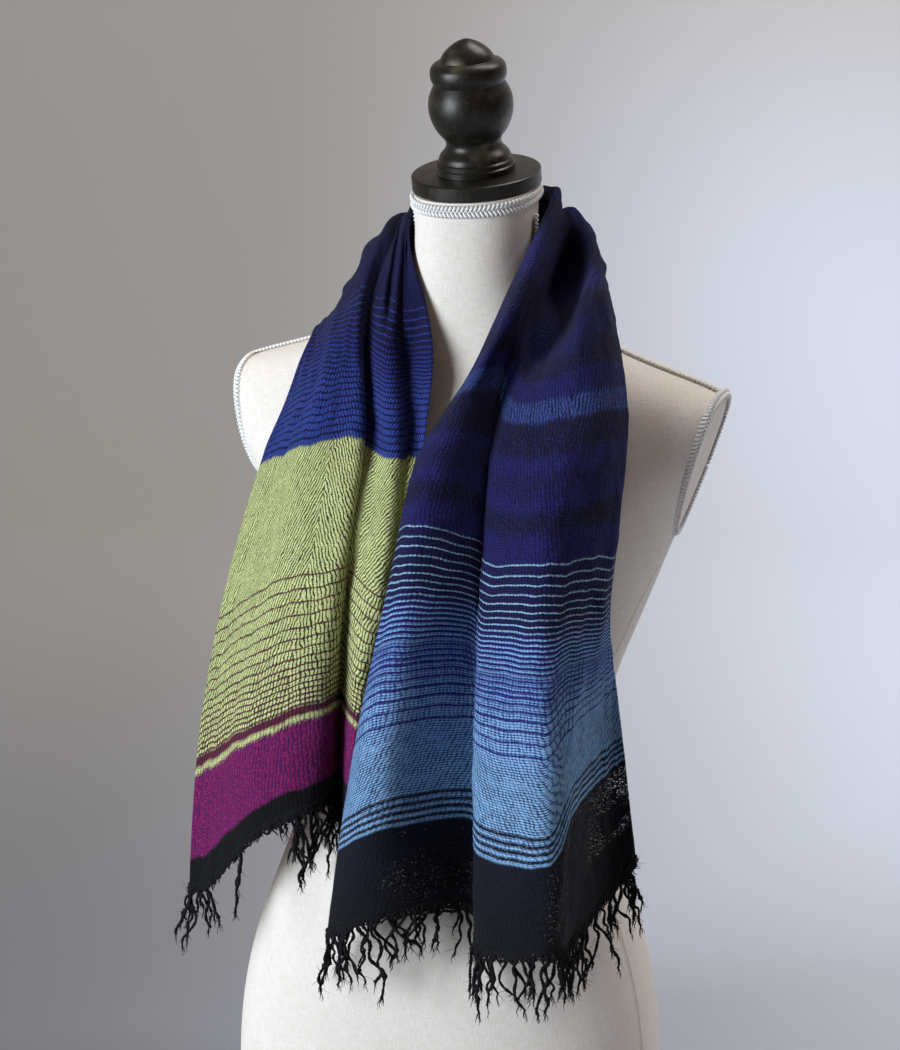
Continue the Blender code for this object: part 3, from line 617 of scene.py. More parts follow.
def tick_phase(u, v, low, high):
    """Columns and rows of the small ticks; the slant turns back at the places low and high."""
    folded = np.where(u > high, u - high, np.where(u > low, high - u, high - 2 * low + u))
    stations = np.arange(-5.0, 1386.0)
    slants = np.interp(stations, *zip(*TICK_SLANT))
    lean = np.concatenate([[0.0], np.cumsum(slants)[:-1]])
    steeper = np.where((u < low) & (v < GREEN_SEAM), INNER_SLANT, 1.0)
    return (folded + np.interp(v, stations, lean) * steeper) / TICK_PITCH, v / ROW_PITCH


def add_object(name, data):
    made = bpy.data.objects.new(name, data)
    bpy.context.scene.collection.objects.link(made)
    return made


def place(name, mesh):
    """Put a finished mesh in the scene, in metres, from the part's origin."""
    mesh.transform(Matrix.Scale(MM, 4) @ Matrix.Translation(-Vector(BOX_MIDDLE)))
    mesh.shade_smooth()
    return add_object(name, mesh)


def from_arrays(name, points, faces):
    mesh = bpy.data.meshes.new(name)
    mesh.from_pydata(np.asarray(points).tolist(), [], faces)
    mesh.update()
    return mesh


def from_bmesh(name, bm):
    mesh = bpy.data.meshes.new(name)
    bm.to_mesh(mesh)
    bm.free()
    return mesh


def stack_rings(bm, rings, lid=True):
    """Skin through rings of points, closed at the first one and, with a lid, at the last."""
    rings = [[bm.verts.new(point) for point in ring] for ring in rings]
    for low, high in zip(rings, rings[1:]):
        for k in range(len(low)):
            after = (k + 1) % len(low)
            bm.faces.new((low[k], low[after], high[after], high[k]))
    bm.faces.new(rings[0][::-1])
    if lid:
        bm.faces.new(rings[-1])


def round_rings(profile, count, way=1):
    """Rings round the z axis from heights and radii; way -1 turns the skin to face inward."""
    angles = way * 2 * np.pi * np.arange(count) / count
    return [[(radius * math.cos(a), radius * math.sin(a), height) for a in angles]
            for height, radius in profile]


def add_uv(mesh, name, first, second):
    """Store two numbers a vertex as a UV map."""
    layer = mesh.uv_layers.new(name=name)
    index = np.zeros(len(mesh.loops), np.int32)
    mesh.loops.foreach_get("vertex_index", index)
    values = np.stack([np.ravel(first)[index], np.ravel(second)[index]], axis=1)
    layer.data.foreach_set("uv", values.astype(np.float32).ravel())


# ---------------------------------------------------------------- materials


def linear(colour):
    """Linear red, green and blue of a named colour."""
    values = np.array(COLOURS[colour], float) / 255.0
    high = ((values + 0.055) / 1.055) ** 2.4
    return tuple(np.where(values <= 0.04045, values / 12.92, high)) + (1.0,)


class Value:
    """A node's output that can be added, taken away, multiplied and divided."""

    def __init__(self, finish, socket):
        self.finish = finish
        self.socket = socket

    def __add__(self, other):
        return self.finish.math("ADD", self, other)

    def __sub__(self, other):
        return self.finish.math("SUBTRACT", self, other)

    def __rsub__(self, other):
        return self.finish.math("SUBTRACT", other, self)

    def __mul__(self, other):
        return self.finish.math("MULTIPLY", self, other)

    def __truediv__(self, other):
        return self.finish.math("DIVIDE", self, other)

    def __abs__(self):
        return self.finish.math("ABSOLUTE", self)


class Finish:
    """Short names for the nodes of one material."""

    def __init__(self, name, roughness, metallic=0.0, sheen=0.0, specular=0.5):
        self.material = bpy.data.materials.new(name)
        self.material.use_nodes = True
        self.tree = self.material.node_tree
        self.shader = self.tree.nodes["Principled BSDF"]
        levels = {"Roughness": roughness, "Metallic": metallic, "Sheen Weight": sheen,
                  "Sheen Roughness": 0.45, "Specular IOR Level": specular}
        for socket, level in levels.items():
            self.shader.inputs[socket].default_value = level

    def feed(self, socket, value):
        """Link a value to a socket, or set the socket to a number or a named colour."""
        if isinstance(value, Value):
            self.tree.links.new(value.socket, socket)
        else:
            socket.default_value = linear(value) if isinstance(value, str) else value

    def node(self, kind, inputs=(), output=0, **settings):
        """New node with its settings and inputs, read at one of its outputs."""
        made = self.tree.nodes.new(kind)
        for key, setting in settings.items():
            setattr(made, key, setting)
        for place_in, value in dict(inputs).items():
            self.feed(made.inputs[place_in], value)
        return Value(self, made.outputs[output])

    def math(self, operation, *values, clamp=False):
        return self.node("ShaderNodeMath", enumerate(values), operation=operation, use_clamp=clamp)

    def mix(self, share, first, second, blend="MIX"):
        inputs = {"Factor": share, 6: first, 7: second}
        return self.node("ShaderNodeMix", inputs, 2, data_type="RGBA", blend_type=blend)

    def parts(self, vector):
        """The three numbers of a vector."""
        split = self.node("ShaderNodeSeparateXYZ", {0: vector}).socket.node
        return [Value(self, output) for output in split.outputs]

    def uv(self, name):
        """The two numbers of one UV map."""
        return self.parts(self.node("ShaderNodeUVMap", uv_map=name))[:2]

    def point(self, x, y, z=0.0):
        return self.node("ShaderNodeCombineXYZ", enumerate((x, y, z)))

    def noise(self, where, scale=1.0, detail=2.0):
        return self.node("ShaderNodeTexNoise", {"Vector": where, "Scale": scale, "Detail": detail})

    def here(self):
        """The surface's own place, in metres."""
        return self.node("ShaderNodeNewGeometry", output="Position")

    def rise(self, value, low, high):
        """Smooth step of a value from low to high, as 0 to 1."""
        limits = {"Value": value, "From Min": low, "From Max": high}
        return self.node("ShaderNodeMapRange", limits, interpolation_type="SMOOTHSTEP")

    def pulse(self, phase, start, end, soft):
        """1 where the phase's fraction lies between start and end."""
        share = self.math("FRACT", phase)
        return self.rise(share, start - soft, start + soft) - self.rise(share, end - soft, end + soft)

    def ramp(self, value, stops):
        made = self.node("ShaderNodeValToRGB", {0: value})
        elements = made.socket.node.color_ramp.elements
        elements.remove(elements[1])
        elements[0].position, elements[0].color = stops[0]
        for position, colour in stops[1:]:
            elements.new(position).color = colour
        return made

    def bands(self, v, rows, low, high):
        """Colour by place along the cloth, from rows of start, colour and softness."""
        rows = [row for i, row in enumerate(rows)
                if row[0] < high and (i + 1 == len(rows) or rows[i + 1][0] > low)]
        begin, span = low - RAMP_MARGIN, high - low + 2 * RAMP_MARGIN
        share = (v - begin) / span
        colour = None
        for first in range(0, len(rows), RAMP_ROWS):
            group = rows[first:first + RAMP_ROWS]
            before = linear(rows[max(first - 1, 0)][1])
            stops = [(0.0, before)]
            for start, name, soft in group:
                if start > begin:
                    at = (start - begin) / span
                    stops += [(at - soft / 2 / span, before), (at + soft / 2 / span, linear(name))]
                before = linear(name)
            part = self.ramp(share, stops)
            edge = (group[0][0] - group[0][2] / 2 - begin) / span
            colour = self.mix(self.math("GREATER_THAN", share, edge), colour, part) if colour else part
        return colour

    def levels(self, v, rows, low, high):
        """A plain number by place along the cloth, from rows of place and value."""
        begin, end = low - LEVEL_MARGIN, high + LEVEL_MARGIN
        places = [begin] + [row[0] for row in rows if begin < row[0] < end] + [end]
        values = np.interp(places, [row[0] for row in rows], [row[1] for row in rows])
        span = end - begin
        stops = [((at - begin) / span, (level, level, level, 1.0)) for at, level in zip(places, values)]
        return self.ramp((v - begin) / span, stops)

    def bump(self, height, strength, distance):
        inputs = {"Strength": strength, "Distance": distance, "Height": height}
        self.feed(self.shader.inputs["Normal"], self.node("ShaderNodeBump", inputs))

    def colour(self, value):
        self.feed(self.shader.inputs["Base Color"], value)


def cloth_finish(name, low, high):
    """Weave of one stretch, drawn along its own length between two stations."""
    finish = Finish(name, 0.92, sheen=0.04, specular=0.2)
    u, v = finish.uv("weave")
    column, row = finish.uv("ticks")
    phase, duty = finish.uv("lines")
    flat = finish.point(u, v)
    frayed = finish.noise(flat, 0.7, 1.0) - 0.5
    drift = finish.noise(flat, 0.14) - 0.5
    column = column + frayed * 0.35 + drift * 1.6
    row = row + frayed * 0.45
    corner = finish.point(finish.math("FLOOR", column), finish.math("FLOOR", row))
    cell = finish.node("ShaderNodeTexWhiteNoise", {"Vector": corner}, noise_dimensions="2D")
    yarn = finish.noise(finish.point(u * 0.22, v * 0.62))
    speck = finish.noise(finish.point(u * 0.42, (v + u * 0.5) * 1.25), 1.0, 3.0)
    fibre = finish.noise(flat, 1.7, 3.0)

    # Dark gaps between the threads: slanted lines of dots, or hairlines between the rows
    along, across = finish.math("FRACT", row), finish.math("FRACT", column)
    between_rows = finish.rise(along, 0.28, 0.02) + finish.rise(along, 0.72, 0.98)
    between_ticks = finish.rise(across, 0.32, 0.04) + finish.rise(across, 0.76, 0.96)
    dots = between_rows * between_ticks * 0.50 + between_ticks * 0.86
    hairs = between_rows * 0.80 + between_ticks * 0.52
    share = finish.levels(v, HAIRLINES, low, high)
    uneven = (finish.rise(finish.noise(flat, 0.11), 0.3, 0.65) * 0.5 + 0.72) * (cell * 0.4 + 0.85)
    gap = (hairs * share + dots * (1.0 - share)) * uneven
    gap = finish.math("MULTIPLY", gap, finish.levels(v, TICK_STRENGTH, low, high), clamp=True)

    # Bands of the ground, whose edges run into each other, with paler and darker threads in them
    feather = finish.noise(finish.point(u * 0.30, v), 0.24, 3.0) - 0.5
    feather = feather * finish.levels(v, FEATHER, low, high)
    ground = finish.bands(v + (feather + frayed), GROUND, low, high)
    fleck, lines, ticks = [finish.bands(v, rows, low, high) for rows in (FLECK, LINE_COLOUR, TICK_COLOUR)]
    flecked = finish.levels(v, FLECKED, low, high)
    colour = finish.mix(finish.rise(speck, 0.46, 0.62) * flecked, ground, fleck)
    colour = finish.mix(finish.rise(yarn, 0.50, 0.32) * flecked * 0.55, colour, ticks)

    # Weft lines
    off = abs(finish.math("FRACT", phase + frayed * 0.22) - 0.5)
    half = duty * (yarn * 0.30 + 0.36)
    line = 1.0 - finish.rise(off, half - 0.05, half + 0.05)
    tone = finish.mix(finish.rise(speck, 0.5, 0.7) * 0.35, lines, fleck)
    colour = finish.mix(line, colour, tone)
    colour = finish.mix(gap * (1.0 - line * 0.2), colour, ticks)
    light = yarn * 0.55 + fibre * 0.55 + cell * 0.08 + finish.noise(flat, 0.03, 3.0) * 0.30 + 0.23
    finish.colour(finish.mix(1.0, colour, finish.point(light, light, light), "MULTIPLY"))
    finish.bump(gap * -0.9 + yarn * 0.6 + fibre * 0.5 + line * 0.25, 0.9, 0.0010)
    return finish


def open_hem(finish, low, high):
    """Loosely woven black end: small gaps between its threads, in two patches."""
    u, v = finish.uv("weave")
    flat = finish.point(u, v)
    (start, end), right_start = OPEN_PATCHES
    patches = finish.rise(u, start, start + 24.0) * finish.rise(u, end + 16.0, end)
    patches = patches + finish.rise(u, right_start, right_start + 22.0)
    loose = finish.rise(finish.noise(flat, 0.035), 0.36, 0.50) * patches * 0.95
    wander = finish.noise(flat, 0.22) * 5.0
    across = finish.pulse(u / 1.9 + wander, 0.24, 0.74, 0.1)
    along = finish.pulse(v / 2.1 + wander, 0.26, 0.74, 0.1)
    spots = finish.rise(finish.noise(flat, 0.6), 0.38, 0.48)
    inside = finish.rise(v, low, low + 6.0) * finish.rise(v, high + 2.0, high - 12.0)
    finish.feed(finish.shader.inputs["Alpha"], 1.0 - across * along * loose * inside * spots)


def woven_threads(finish, first, second):
    """Slubs of both ways of a plain weave on one flat projection, in millimetres."""
    warp, weft = [finish.noise(finish.point(first * fast, second * slow), 1.0, 3.0)
                  for fast, slow in (LINEN_THREAD, LINEN_THREAD[::-1])]
    return warp + weft


def linen_finish():
    """Cream linen: fine crossed threads with slubs, the stitching of its seams, and painted shade along
    them.
    """
    finish = Finish("form_linen_weave", 0.9, sheen=0.05, specular=0.25)
    x, y, z = [metres * 1000.0 for metres in finish.parts(finish.here())]
    facing = finish.parts(finish.node("ShaderNodeNewGeometry", output="True Normal"))
    sideways = finish.rise(abs(facing[0]), 0.66, 0.80)
    upward = finish.rise(abs(facing[2]), 0.72, 0.86)
    threads = finish.mix(sideways, woven_threads(finish, x, z), woven_threads(finish, y, z))
    threads = finish.mix(upward, threads, woven_threads(finish, x, y))
    cloudy = finish.noise(finish.point(x, y, z), 0.012)
    colour = finish.mix(finish.rise(threads + cloudy * 0.20, 0.78, 1.42), "linen shade", "linen")
    seam = finish.node("ShaderNodeAttribute", output="Fac", attribute_name="seam")
    away = abs(seam)
    groove = finish.rise(away, 1.0, 0.2)
    row = finish.rise(away, 0.5, 1.0) * finish.rise(away, 2.6, 2.0)
    stitched = row * finish.pulse((z + seam * 0.5) / STITCH_PITCH, 0.22, 0.74, 0.12)
    # Painted shade: the seam colour darkens a band beside each seam, and the next colour darkens its middle
    # line
    for share, name in ((row * 0.30, "seam"), (stitched * 0.7, "stitch"), (groove * 0.35, "groove")):
        colour = finish.mix(share, colour, name)
    finish.colour(colour)
    finish.bump(threads + stitched * 1.2 + groove * -1.6, 0.45, 0.0006)
    return finish


def gimp_finish():
    """White satin thread wound lengthwise on each petal."""
    finish = Finish("gimp_braid", 0.50, sheen=0.08)
    u, v = finish.uv("thread")
    finish.colour(finish.mix(finish.noise(finish.point(u, v * 0.4), 5.0), "gimp shade", "gimp"))
    finish.bump(finish.noise(finish.point(u * 4.0, v * 0.3), 3.0, 1.0), 0.35, 0.0003)
    return finish


def bronze_finish(rub_and_highlight):
    """Dark painted wood with dull gold in small noise patches, partly rub wear and partly painted
    highlight.
    """
    finish = Finish("dark_bronze_paint", 0.36, metallic=0.45)
    here = finish.here()
    patch = finish.rise(finish.noise(here, 55.0, 5.0), 0.52, 0.80)
    worn = finish.rise(finish.noise(here, 330.0, 3.0), 0.50, 0.72)
    grain = finish.noise(here, 900.0)
    dark = finish.mix(worn * 0.30, finish.mix(grain, "bronze shade", "bronze"), "bronze worn")
    # Dull gold patches: partly rub wear, partly painted highlight
    finish.colour(finish.mix(patch * rub_and_highlight, dark, "bronze gold"))
    finish.feed(finish.shader.inputs["Roughness"], finish.noise(here, 140.0, 3.0) * 0.20 + 0.26)
    finish.bump(grain + finish.noise(here, 220.0, 4.0), 0.12, 0.0004)
    return finish


def yarn_finish():
    finish = Finish("black_yarn", 0.92, sheen=0.03, specular=0.2)
    finish.colour(finish.mix(finish.noise(finish.point(*finish.uv("thread")), 2.0), "yarn shade", "yarn"))
    return finish


# ---------------------------------------------------------------- cloth


def cloth_piece(name, low, high):
    """One stretch of the shawl as a thin closed shell with soft edges."""
    rows = int(round((high - low) / GRID)) + 1
    columns = int(round(CLOTH_WIDTH / GRID)) + 1
    stations = np.linspace(low, high, rows)
    places = np.linspace(0.0, 1.0, columns)
    wide = shawl_surface(places, np.concatenate([[low - GRID], stations, [high + GRID]]))
    middle = wide[1:-1]
    u, v = np.meshgrid(places * CLOTH_WIDTH, stations)
    edge = np.minimum(u, CLOTH_WIDTH - u)
    if low == GREEN_HEM:
        edge = np.minimum(edge, v - low)
    if high == BLUE_HEM:
        edge = np.minimum(edge, high - v)
    rim = np.minimum(edge / RIM, 1.0)
    thick = VISIBLE_WALL / 2 * np.sqrt(0.08 + 0.92 * rim * (2 - rim))
    offset = cloth_normals(wide)[1:-1] * thick[..., None]
    points = np.concatenate([(middle + offset).reshape(-1, 3), (middle - offset).reshape(-1, 3)])
    mesh = from_arrays(name, points, shell_faces(rows, columns))
    reach = across_cloth(middle)
    turns = [reach[:, [int(round(share * (columns - 1)))]] for share in CHEVRONS]
    slipped = v + weft_shift(u, v)
    layers = {"weave": (reach, slipped), "ticks": tick_phase(reach, slipped, *turns),
              "lines": line_phase(slipped)}
    for layer, (first, second) in layers.items():
        add_uv(mesh, layer, np.tile(first.ravel(), 2), np.tile(second.ravel(), 2))
    return place(name, mesh)


def shell_faces(rows, columns):
    """Faces of a grid, of its copy behind it, and of the rim between them."""
    half = rows * columns
    grid = np.arange(half).reshape(rows, columns)
    front = np.stack([grid[:-1, :-1], grid[1:, :-1], grid[1:, 1:], grid[:-1, 1:]], axis=-1).reshape(-1, 4)
    edge = np.concatenate([grid[0, :], grid[1:, -1], grid[-1, -2::-1], grid[-2:0:-1, 0]])
    after = np.roll(edge, -1)
    rim = np.stack([edge, after, half + after, half + edge], axis=1)
    return front.tolist() + (front[:, ::-1] + half).tolist() + rim.tolist()


# ---------------------------------------------------------------- fringe


class Tubes:
    """Many tubes gathered into one mesh."""

    def __init__(self):
        self.points = []
        self.faces = []
        self.around = []
        self.along = []
        self.count = 0

    def add(self, path, radii, sides, lobes=0.0, pitch=5.0):
        """Tube along a path; lobes and pitch give the twist of a two-ply yarn."""
        rows = len(path)
        length = length_along(path)
        ahead = unit(np.gradient(path, axis=0))
        side = unit(np.cross(ahead, np.array((0.31, 0.94, 0.11))))
        other = np.cross(ahead, side)
        angle = 2 * np.pi * np.arange(sides) / sides
        turn = 2 * np.pi * length / pitch
        reach = np.asarray(radii)[:, None] * (1.0 + lobes * np.cos(2 * (angle[None] - turn[:, None])))
        ring = side[:, None] * np.cos(angle)[None, :, None] + other[:, None] * np.sin(angle)[None, :, None]
        self.points.append((path[:, None] + ring * reach[..., None]).reshape(-1, 3))
        index = self.count + np.arange(rows * sides).reshape(rows, sides)
        after = np.roll(index, -1, axis=1)
        skin = np.stack([index[:-1], after[:-1], after[1:], index[1:]], axis=-1)
        self.faces += skin.reshape(-1, 4).tolist() + [index[0, ::-1].tolist(), index[-1].tolist()]
        self.around.append(np.tile(angle, rows))
        self.along.append(np.repeat(length, sides))
        self.count += rows * sides

    def mesh(self, name):
        made = from_arrays(name, np.concatenate(self.points), self.faces)
        add_uv(made, "thread", np.concatenate(self.around), np.concatenate(self.along))
        return made


def scatter(rng, limit, count):
    """Random numbers up to a limit to either side of 0."""
    return np.array([rng.uniform(-limit, limit) for _ in range(count)])


def wander(start, heading, axes, length, steps, rng, bend, pull, knots):
    """Path of a kinked yarn: its heading turns at random and is pulled back to the way it hangs."""
    ahead, across, outward = axes
    at = np.linspace(0.0, 1.0, knots)
    turns = scatter(rng, bend, 2 * knots).reshape(knots, 2) * (1.0, 0.5)
    turns[0] = heading
    share = np.linspace(0.0, 1.0, steps)
    sway = np.interp(share, at, turns[:, 0]) * (1.0 - pull * share)
    lift = np.interp(share, at, turns[:, 1])
    way = ahead + across * np.tan(sway)[:, None] + outward * np.tan(lift)[:, None]
    stride = unit(way) * (length / (steps - 1))
    return start + np.concatenate([np.zeros((1, 3)), np.cumsum(stride[1:], axis=0)])


def hairs(tubes, path, count, reach, rng):
    """Loose fibres that curl away from a yarn, most of them near its end."""
    t = np.linspace(0.0, 1.0, 7)[:, None]
    for _ in range(count):
        at = int((len(path) - 3) * min(1.0, rng.uniform(0.35, 1.25)))
        ahead = unit(path[at + 2] - path[at])
        way = ahead * rng.uniform(0.2, 1.0) + scatter(rng, 0.7, 3)
        curl = scatter(rng, 0.9, 3)
        size = rng.uniform(*reach)
        hair = path[at] + way * size * t + curl * size * t * t * 0.7 + curl[::-1] * 1.2 * np.sin(5.0 * t)
        tubes.add(off_form(hair, 0.5), np.linspace(0.26, 0.10, 7), 3)


def fringe_strand(tubes, root, axes, heading, length, radius, rng):
    """Twisted yarn with kinks, a knot near its end and a frayed tip."""
    path = wander(root, (heading, rng.uniform(-0.15, 0.2)), axes, length, STRAND_POINTS, rng, 1.06, 0.1,
                  rng.randint(6, 10))
    path = off_form(path, radius + 0.6)
    share = np.linspace(0.0, 1.0, STRAND_POINTS)
    knot = 1.0 + rng.choice((0.0, 0.8)) * bell(share, rng.uniform(0.7, 0.92), 0.03)
    uneven = 1.0 + 0.18 * np.sin(share * rng.uniform(20.0, 34.0))
    tubes.add(path, radius * (1.05 - 0.30 * share) * knot * uneven, 7, lobes=0.24, pitch=4.2)
    for _ in range(rng.randint(2, 4)):
        tip = wander(path[-2], (rng.uniform(-0.6, 0.6), 0.0), axes, rng.uniform(6.0, 12.0), 12, rng,
                     0.9, 0.0, 5)
        tubes.add(off_form(tip, 0.6), np.linspace(radius * 0.45, 0.16, 12), 4)
    hairs(tubes, path, 8, (3.0, 8.0), rng)


def matted_hem(tubes, hem, down, across, outward, rng):
    """Packed ragged band of short ends and knotted yarn along a hem."""
    for depth, radius, wave in HEM_CORDS:
        sway, lift = [scatter(rng, 1.0, HEM_POINTS) for _ in range(2)]
        cord = hem + down * (depth + wave * sway)[:, None] + outward * (0.7 * lift)[:, None]
        size = radius * (1.0 + 0.35 * scatter(rng, 1.0, HEM_POINTS))
        tubes.add(off_form(cord, 1.3), size, 6)
    for point, *axes in zip(hem, down, across, outward):
        for _ in range(2):
            start = point - axes[0] * 1.5
            start = start + axes[1] * rng.uniform(-1.0, 1.0) + axes[2] * rng.uniform(-0.7, 0.7)
            reach = rng.uniform(5.0, 11.0) + (5.0 if rng.random() < 0.15 else 0.0)
            path = wander(start, (rng.uniform(-0.5, 0.5), 0.0), axes, reach, 8, rng, 0.8, 0.0, 4)
            tubes.add(off_form(path, 1.2), np.linspace(1.0, 0.45, 8) * rng.uniform(0.7, 1.2), 5)
    hairs(tubes, hem + down * 6.0, 90, (3.0, 7.0), rng)


def fringe_piece(name, station, inward, clusters, seed):
    """Fringe of one end: a packed band along the hem, and the yarns that hang from it in clusters."""
    rng = random.Random(seed)
    places = np.linspace(0.0, 1.0, HEM_POINTS)
    hem, above = shawl_surface(places, np.array([station, station + inward * 6.0]))
    down = unit(unit(hem - above) + np.array((0.0, 0.0, -0.6)))
    across = unit(np.gradient(hem, axis=0))
    outward = np.cross(across, down)
    tubes = Tubes()
    matted_hem(tubes, hem, down, across, outward, rng)
    for share, strands, length, spread, drawn in clusters:
        centre = share * (HEM_POINTS - 1)
        axes = [row[int(centre)] for row in (down, across, outward)]
        for k in range(strands):
            offset = spread * ((k + 0.5) / strands - 0.5) * 2 + rng.uniform(-0.8, 0.8)
            at = min(max(centre + offset / CLOTH_WIDTH * HEM_POINTS, 0.0), HEM_POINTS - 1.001)
            low = int(at)
            root = hem[low] + (hem[low + 1] - hem[low]) * (at - low) + down[low] * 3.0
            heading = -math.atan2(offset * drawn, length * 0.35) + rng.uniform(-0.12, 0.12)
            reach = length * rng.uniform(0.60, 1.12)
            fringe_strand(tubes, root, axes, heading, reach, rng.uniform(1.05, 1.6), rng)
    return place(name, tubes.mesh(name))


# ---------------------------------------------------------------- form


def ring_points(angles, z):
    """Points of the form's skin at one level."""
    half, front, back, centre = form_level([z])[:, 0]
    c, s = np.cos(angles), np.sin(angles)
    x = half * np.sign(c) * np.abs(c) ** (2 / SECTION_POWER)
    deep = np.where(s > 0, back, front + bust(x, z))
    y = centre + deep * np.sign(s) * np.abs(s) ** (2 / SECTION_POWER)
    return np.stack([x, y, np.full(len(x), z)], axis=1)


def on_neck_axis(height):
    """Matrix whose z axis is the neck's, height mm above the neck's top."""
    turn = Matrix.Rotation(NECK_LEAN, 4, "Y") @ Matrix.Rotation(NECK_TILT, 4, "X")
    return Matrix.Translation(NECK_TOP) @ turn @ Matrix.Translation((0.0, 0.0, height))


def pillow(bm, face, rise):
    """Replace a flat face by a shallow cushion."""
    centre = face.calc_center_median()
    outward = face.normal.copy()
    ring = list(face.verts)
    rim = [vert.co.copy() for vert in ring]
    bm.faces.remove(face)
    for share in PILLOW_RINGS:
        height = rise * math.sqrt(1.0 - share ** 2)
        inner = [bm.verts.new(centre + (point - centre) * share + outward * height) for point in rim]
        for k in range(len(ring)):
            after = (k + 1) % len(ring)
            bm.faces.new((ring[k], ring[after], inner[after], inner[k]))
        ring = inner
    bm.faces.new(ring)


def cut(bm, point, normal, rise=0.0):
    """Cut what stands above the waist by a plane, drop what lies before it and close the cut."""
    geometry = [vert for vert in bm.verts if vert.co.z > WAIST]
    for group in (bm.edges, bm.faces):
        geometry += [item for item in group if min(vert.co.z for vert in item.verts) > WAIST]
    found = bmesh.ops.bisect_plane(bm, geom=geometry, plane_co=point, plane_no=normal, clear_outer=True)
    rim = [item for item in found["geom_cut"] if isinstance(item, bmesh.types.BMEdge)]
    made = bmesh.ops.contextual_create(bm, geom=rim)["faces"]
    if rise:
        made[0].normal_update()
        if made[0].normal.dot(normal) < 0:
            made[0].normal_flip()
        pillow(bm, made[0], rise)


def seam_distance(points):
    """Signed distance to the nearest of the two side seams and the seam down the back."""
    x, y, z = points.T
    heights, depths = np.array(SIDE_SEAM, float).T
    side = y - np.interp(z, heights, depths)
    side = np.where(z < heights[-1], side, np.copysign(FAR_OFF, side))
    back = np.where(y > 20, x, np.copysign(FAR_OFF, x))
    return np.where(np.abs(side) < np.abs(back), side, back)


def torso_piece():
    """Linen skin of the form, cut flat at the neck and the arm plates."""
    heights = np.concatenate([np.linspace(*stretch) for stretch in TORSO_LEVELS])
    angles = 2 * np.pi * (np.arange(TORSO_SIDES) + 0.5) / TORSO_SIDES
    insets = 1.0 - 0.012 * (1.0 - ease(0.0, 5.0, heights))
    bm = bmesh.new()
    stack_rings(bm, [ring_points(angles, z) * np.array((inset, inset, 1.0))
                     for z, inset in zip(heights, insets)])
    cut(bm, NECK_TOP, on_neck_axis(0.0).to_3x3() @ Vector((0.0, 0.0, 1.0)))
    for side in (-1, 1):
        cut(bm, (side * PLATE_X[side], 0.0, PLATE_Z), Vector((side, 0.0, -PLATE_SLOPE[side])), 2.0)
    bmesh.ops.recalc_face_normals(bm, faces=bm.faces)
    mesh = from_bmesh("torso", bm)
    seam = mesh.attributes.new("seam", "FLOAT", "POINT")
    points = np.array([vert.co[:] for vert in mesh.vertices])
    seam.data.foreach_set("value", seam_distance(points).astype(np.float32))
    piece = place("torso", mesh)
    piece.modifiers.new("flat cuts", "WEIGHTED_NORMAL").keep_sharp = True
    mesh.set_sharp_from_angle(angle=math.radians(50))
    return piece


def turned(name, profile, count, base):
    """Solid turned on the neck's axis from heights and radii."""
    bm = bmesh.new()
    stack_rings(bm, round_rings(profile, count))
    bmesh.ops.transform(bm, matrix=on_neck_axis(base), verts=bm.verts)
    piece = place(name, from_bmesh(name, bm))
    piece.data.set_sharp_from_angle(angle=math.radians(38))
    return piece


def fine_profile(profile, step, corners):
    """Profile read closely from a smooth curve between the corners where it turns sharply."""
    rows = []
    start = 0
    for end in [i for i, row in enumerate(profile) if row[0] in corners] + [len(profile) - 1]:
        part = np.array(profile[start:end + 1], float)
        if len(part) > 2:
            count = max(4, int((part[-1, 0] - part[0, 0]) / step))
            way = length_along(part)
            part = smooth(way, part, np.linspace(0.0, way[-1], count))
        rows += part.tolist()[1 if rows else 0:]
        start = end
    return rows


def skin_reach(origin, direction):
    """Distance along directions from inside the form to its skin."""
    near = np.full(len(direction), 5.0)
    far = np.full(len(direction), 260.0)
    for _ in range(26):
        middle = (near + far) / 2
        inside = form_reading(origin + direction * middle[:, None]) < 0
        near = np.where(inside, middle, near)
        far = np.where(inside, far, middle)
    return near


def gimp(name, path, up, outward, size, wrap=0.0):
    """Gimp braid along a path: satin petals slanted up and down from a middle line; wrap bends it."""
    height, thick = size
    length = length_along(path)
    t = np.linspace(0.0, 1.0, len(GIMP_RADII))
    tubes = Tubes()
    tubes.add(path + outward * thick * 0.12, np.full(len(path), min(thick, height) * 0.30), 6)
    for k in range(int(length[-1] / GIMP_PITCH)):
        for side in (1, -1):
            along = (k + 0.25 * (side + 1)) * GIMP_PITCH + GIMP_PITCH * 0.85 * np.sin(t * np.pi * 0.5)
            along = np.minimum(along, length[-1])
            rise = side * (height / 2 - GIMP_PITCH * 0.30) * (0.06 + 0.94 * t)
            bulge = thick * (0.24 + 0.42 * np.sin(np.pi * (0.12 + 0.80 * t)))
            bulge -= wrap * (np.hypot(rise, EDGE_ROUND) - EDGE_ROUND)
            line, over, out = [np.stack([np.interp(along, length, row) for row in source.T], axis=1)
                               for source in (path, up, outward)]
            petal = line + over * rise[:, None] + out * bulge[:, None]
            tubes.add(petal, GIMP_PITCH * np.array(GIMP_RADII), 7)
    return place(name, tubes.mesh(name))


def neck_braid_piece():
    """Braid round the neck, under the disc."""
    first, second, up, top = np.array(on_neck_axis(0.0))[:3].T
    way = first * np.cos(ONE_TURN)[:, None] + second * np.sin(ONE_TURN)[:, None]
    origin = top - up * (SEAM + NECK_BRAID[0] / 2)
    path = origin + way * (skin_reach(origin, way) + 0.4)[:, None]
    return gimp("neck_gimp", path, np.tile(up, (len(path), 1)), way, NECK_BRAID)


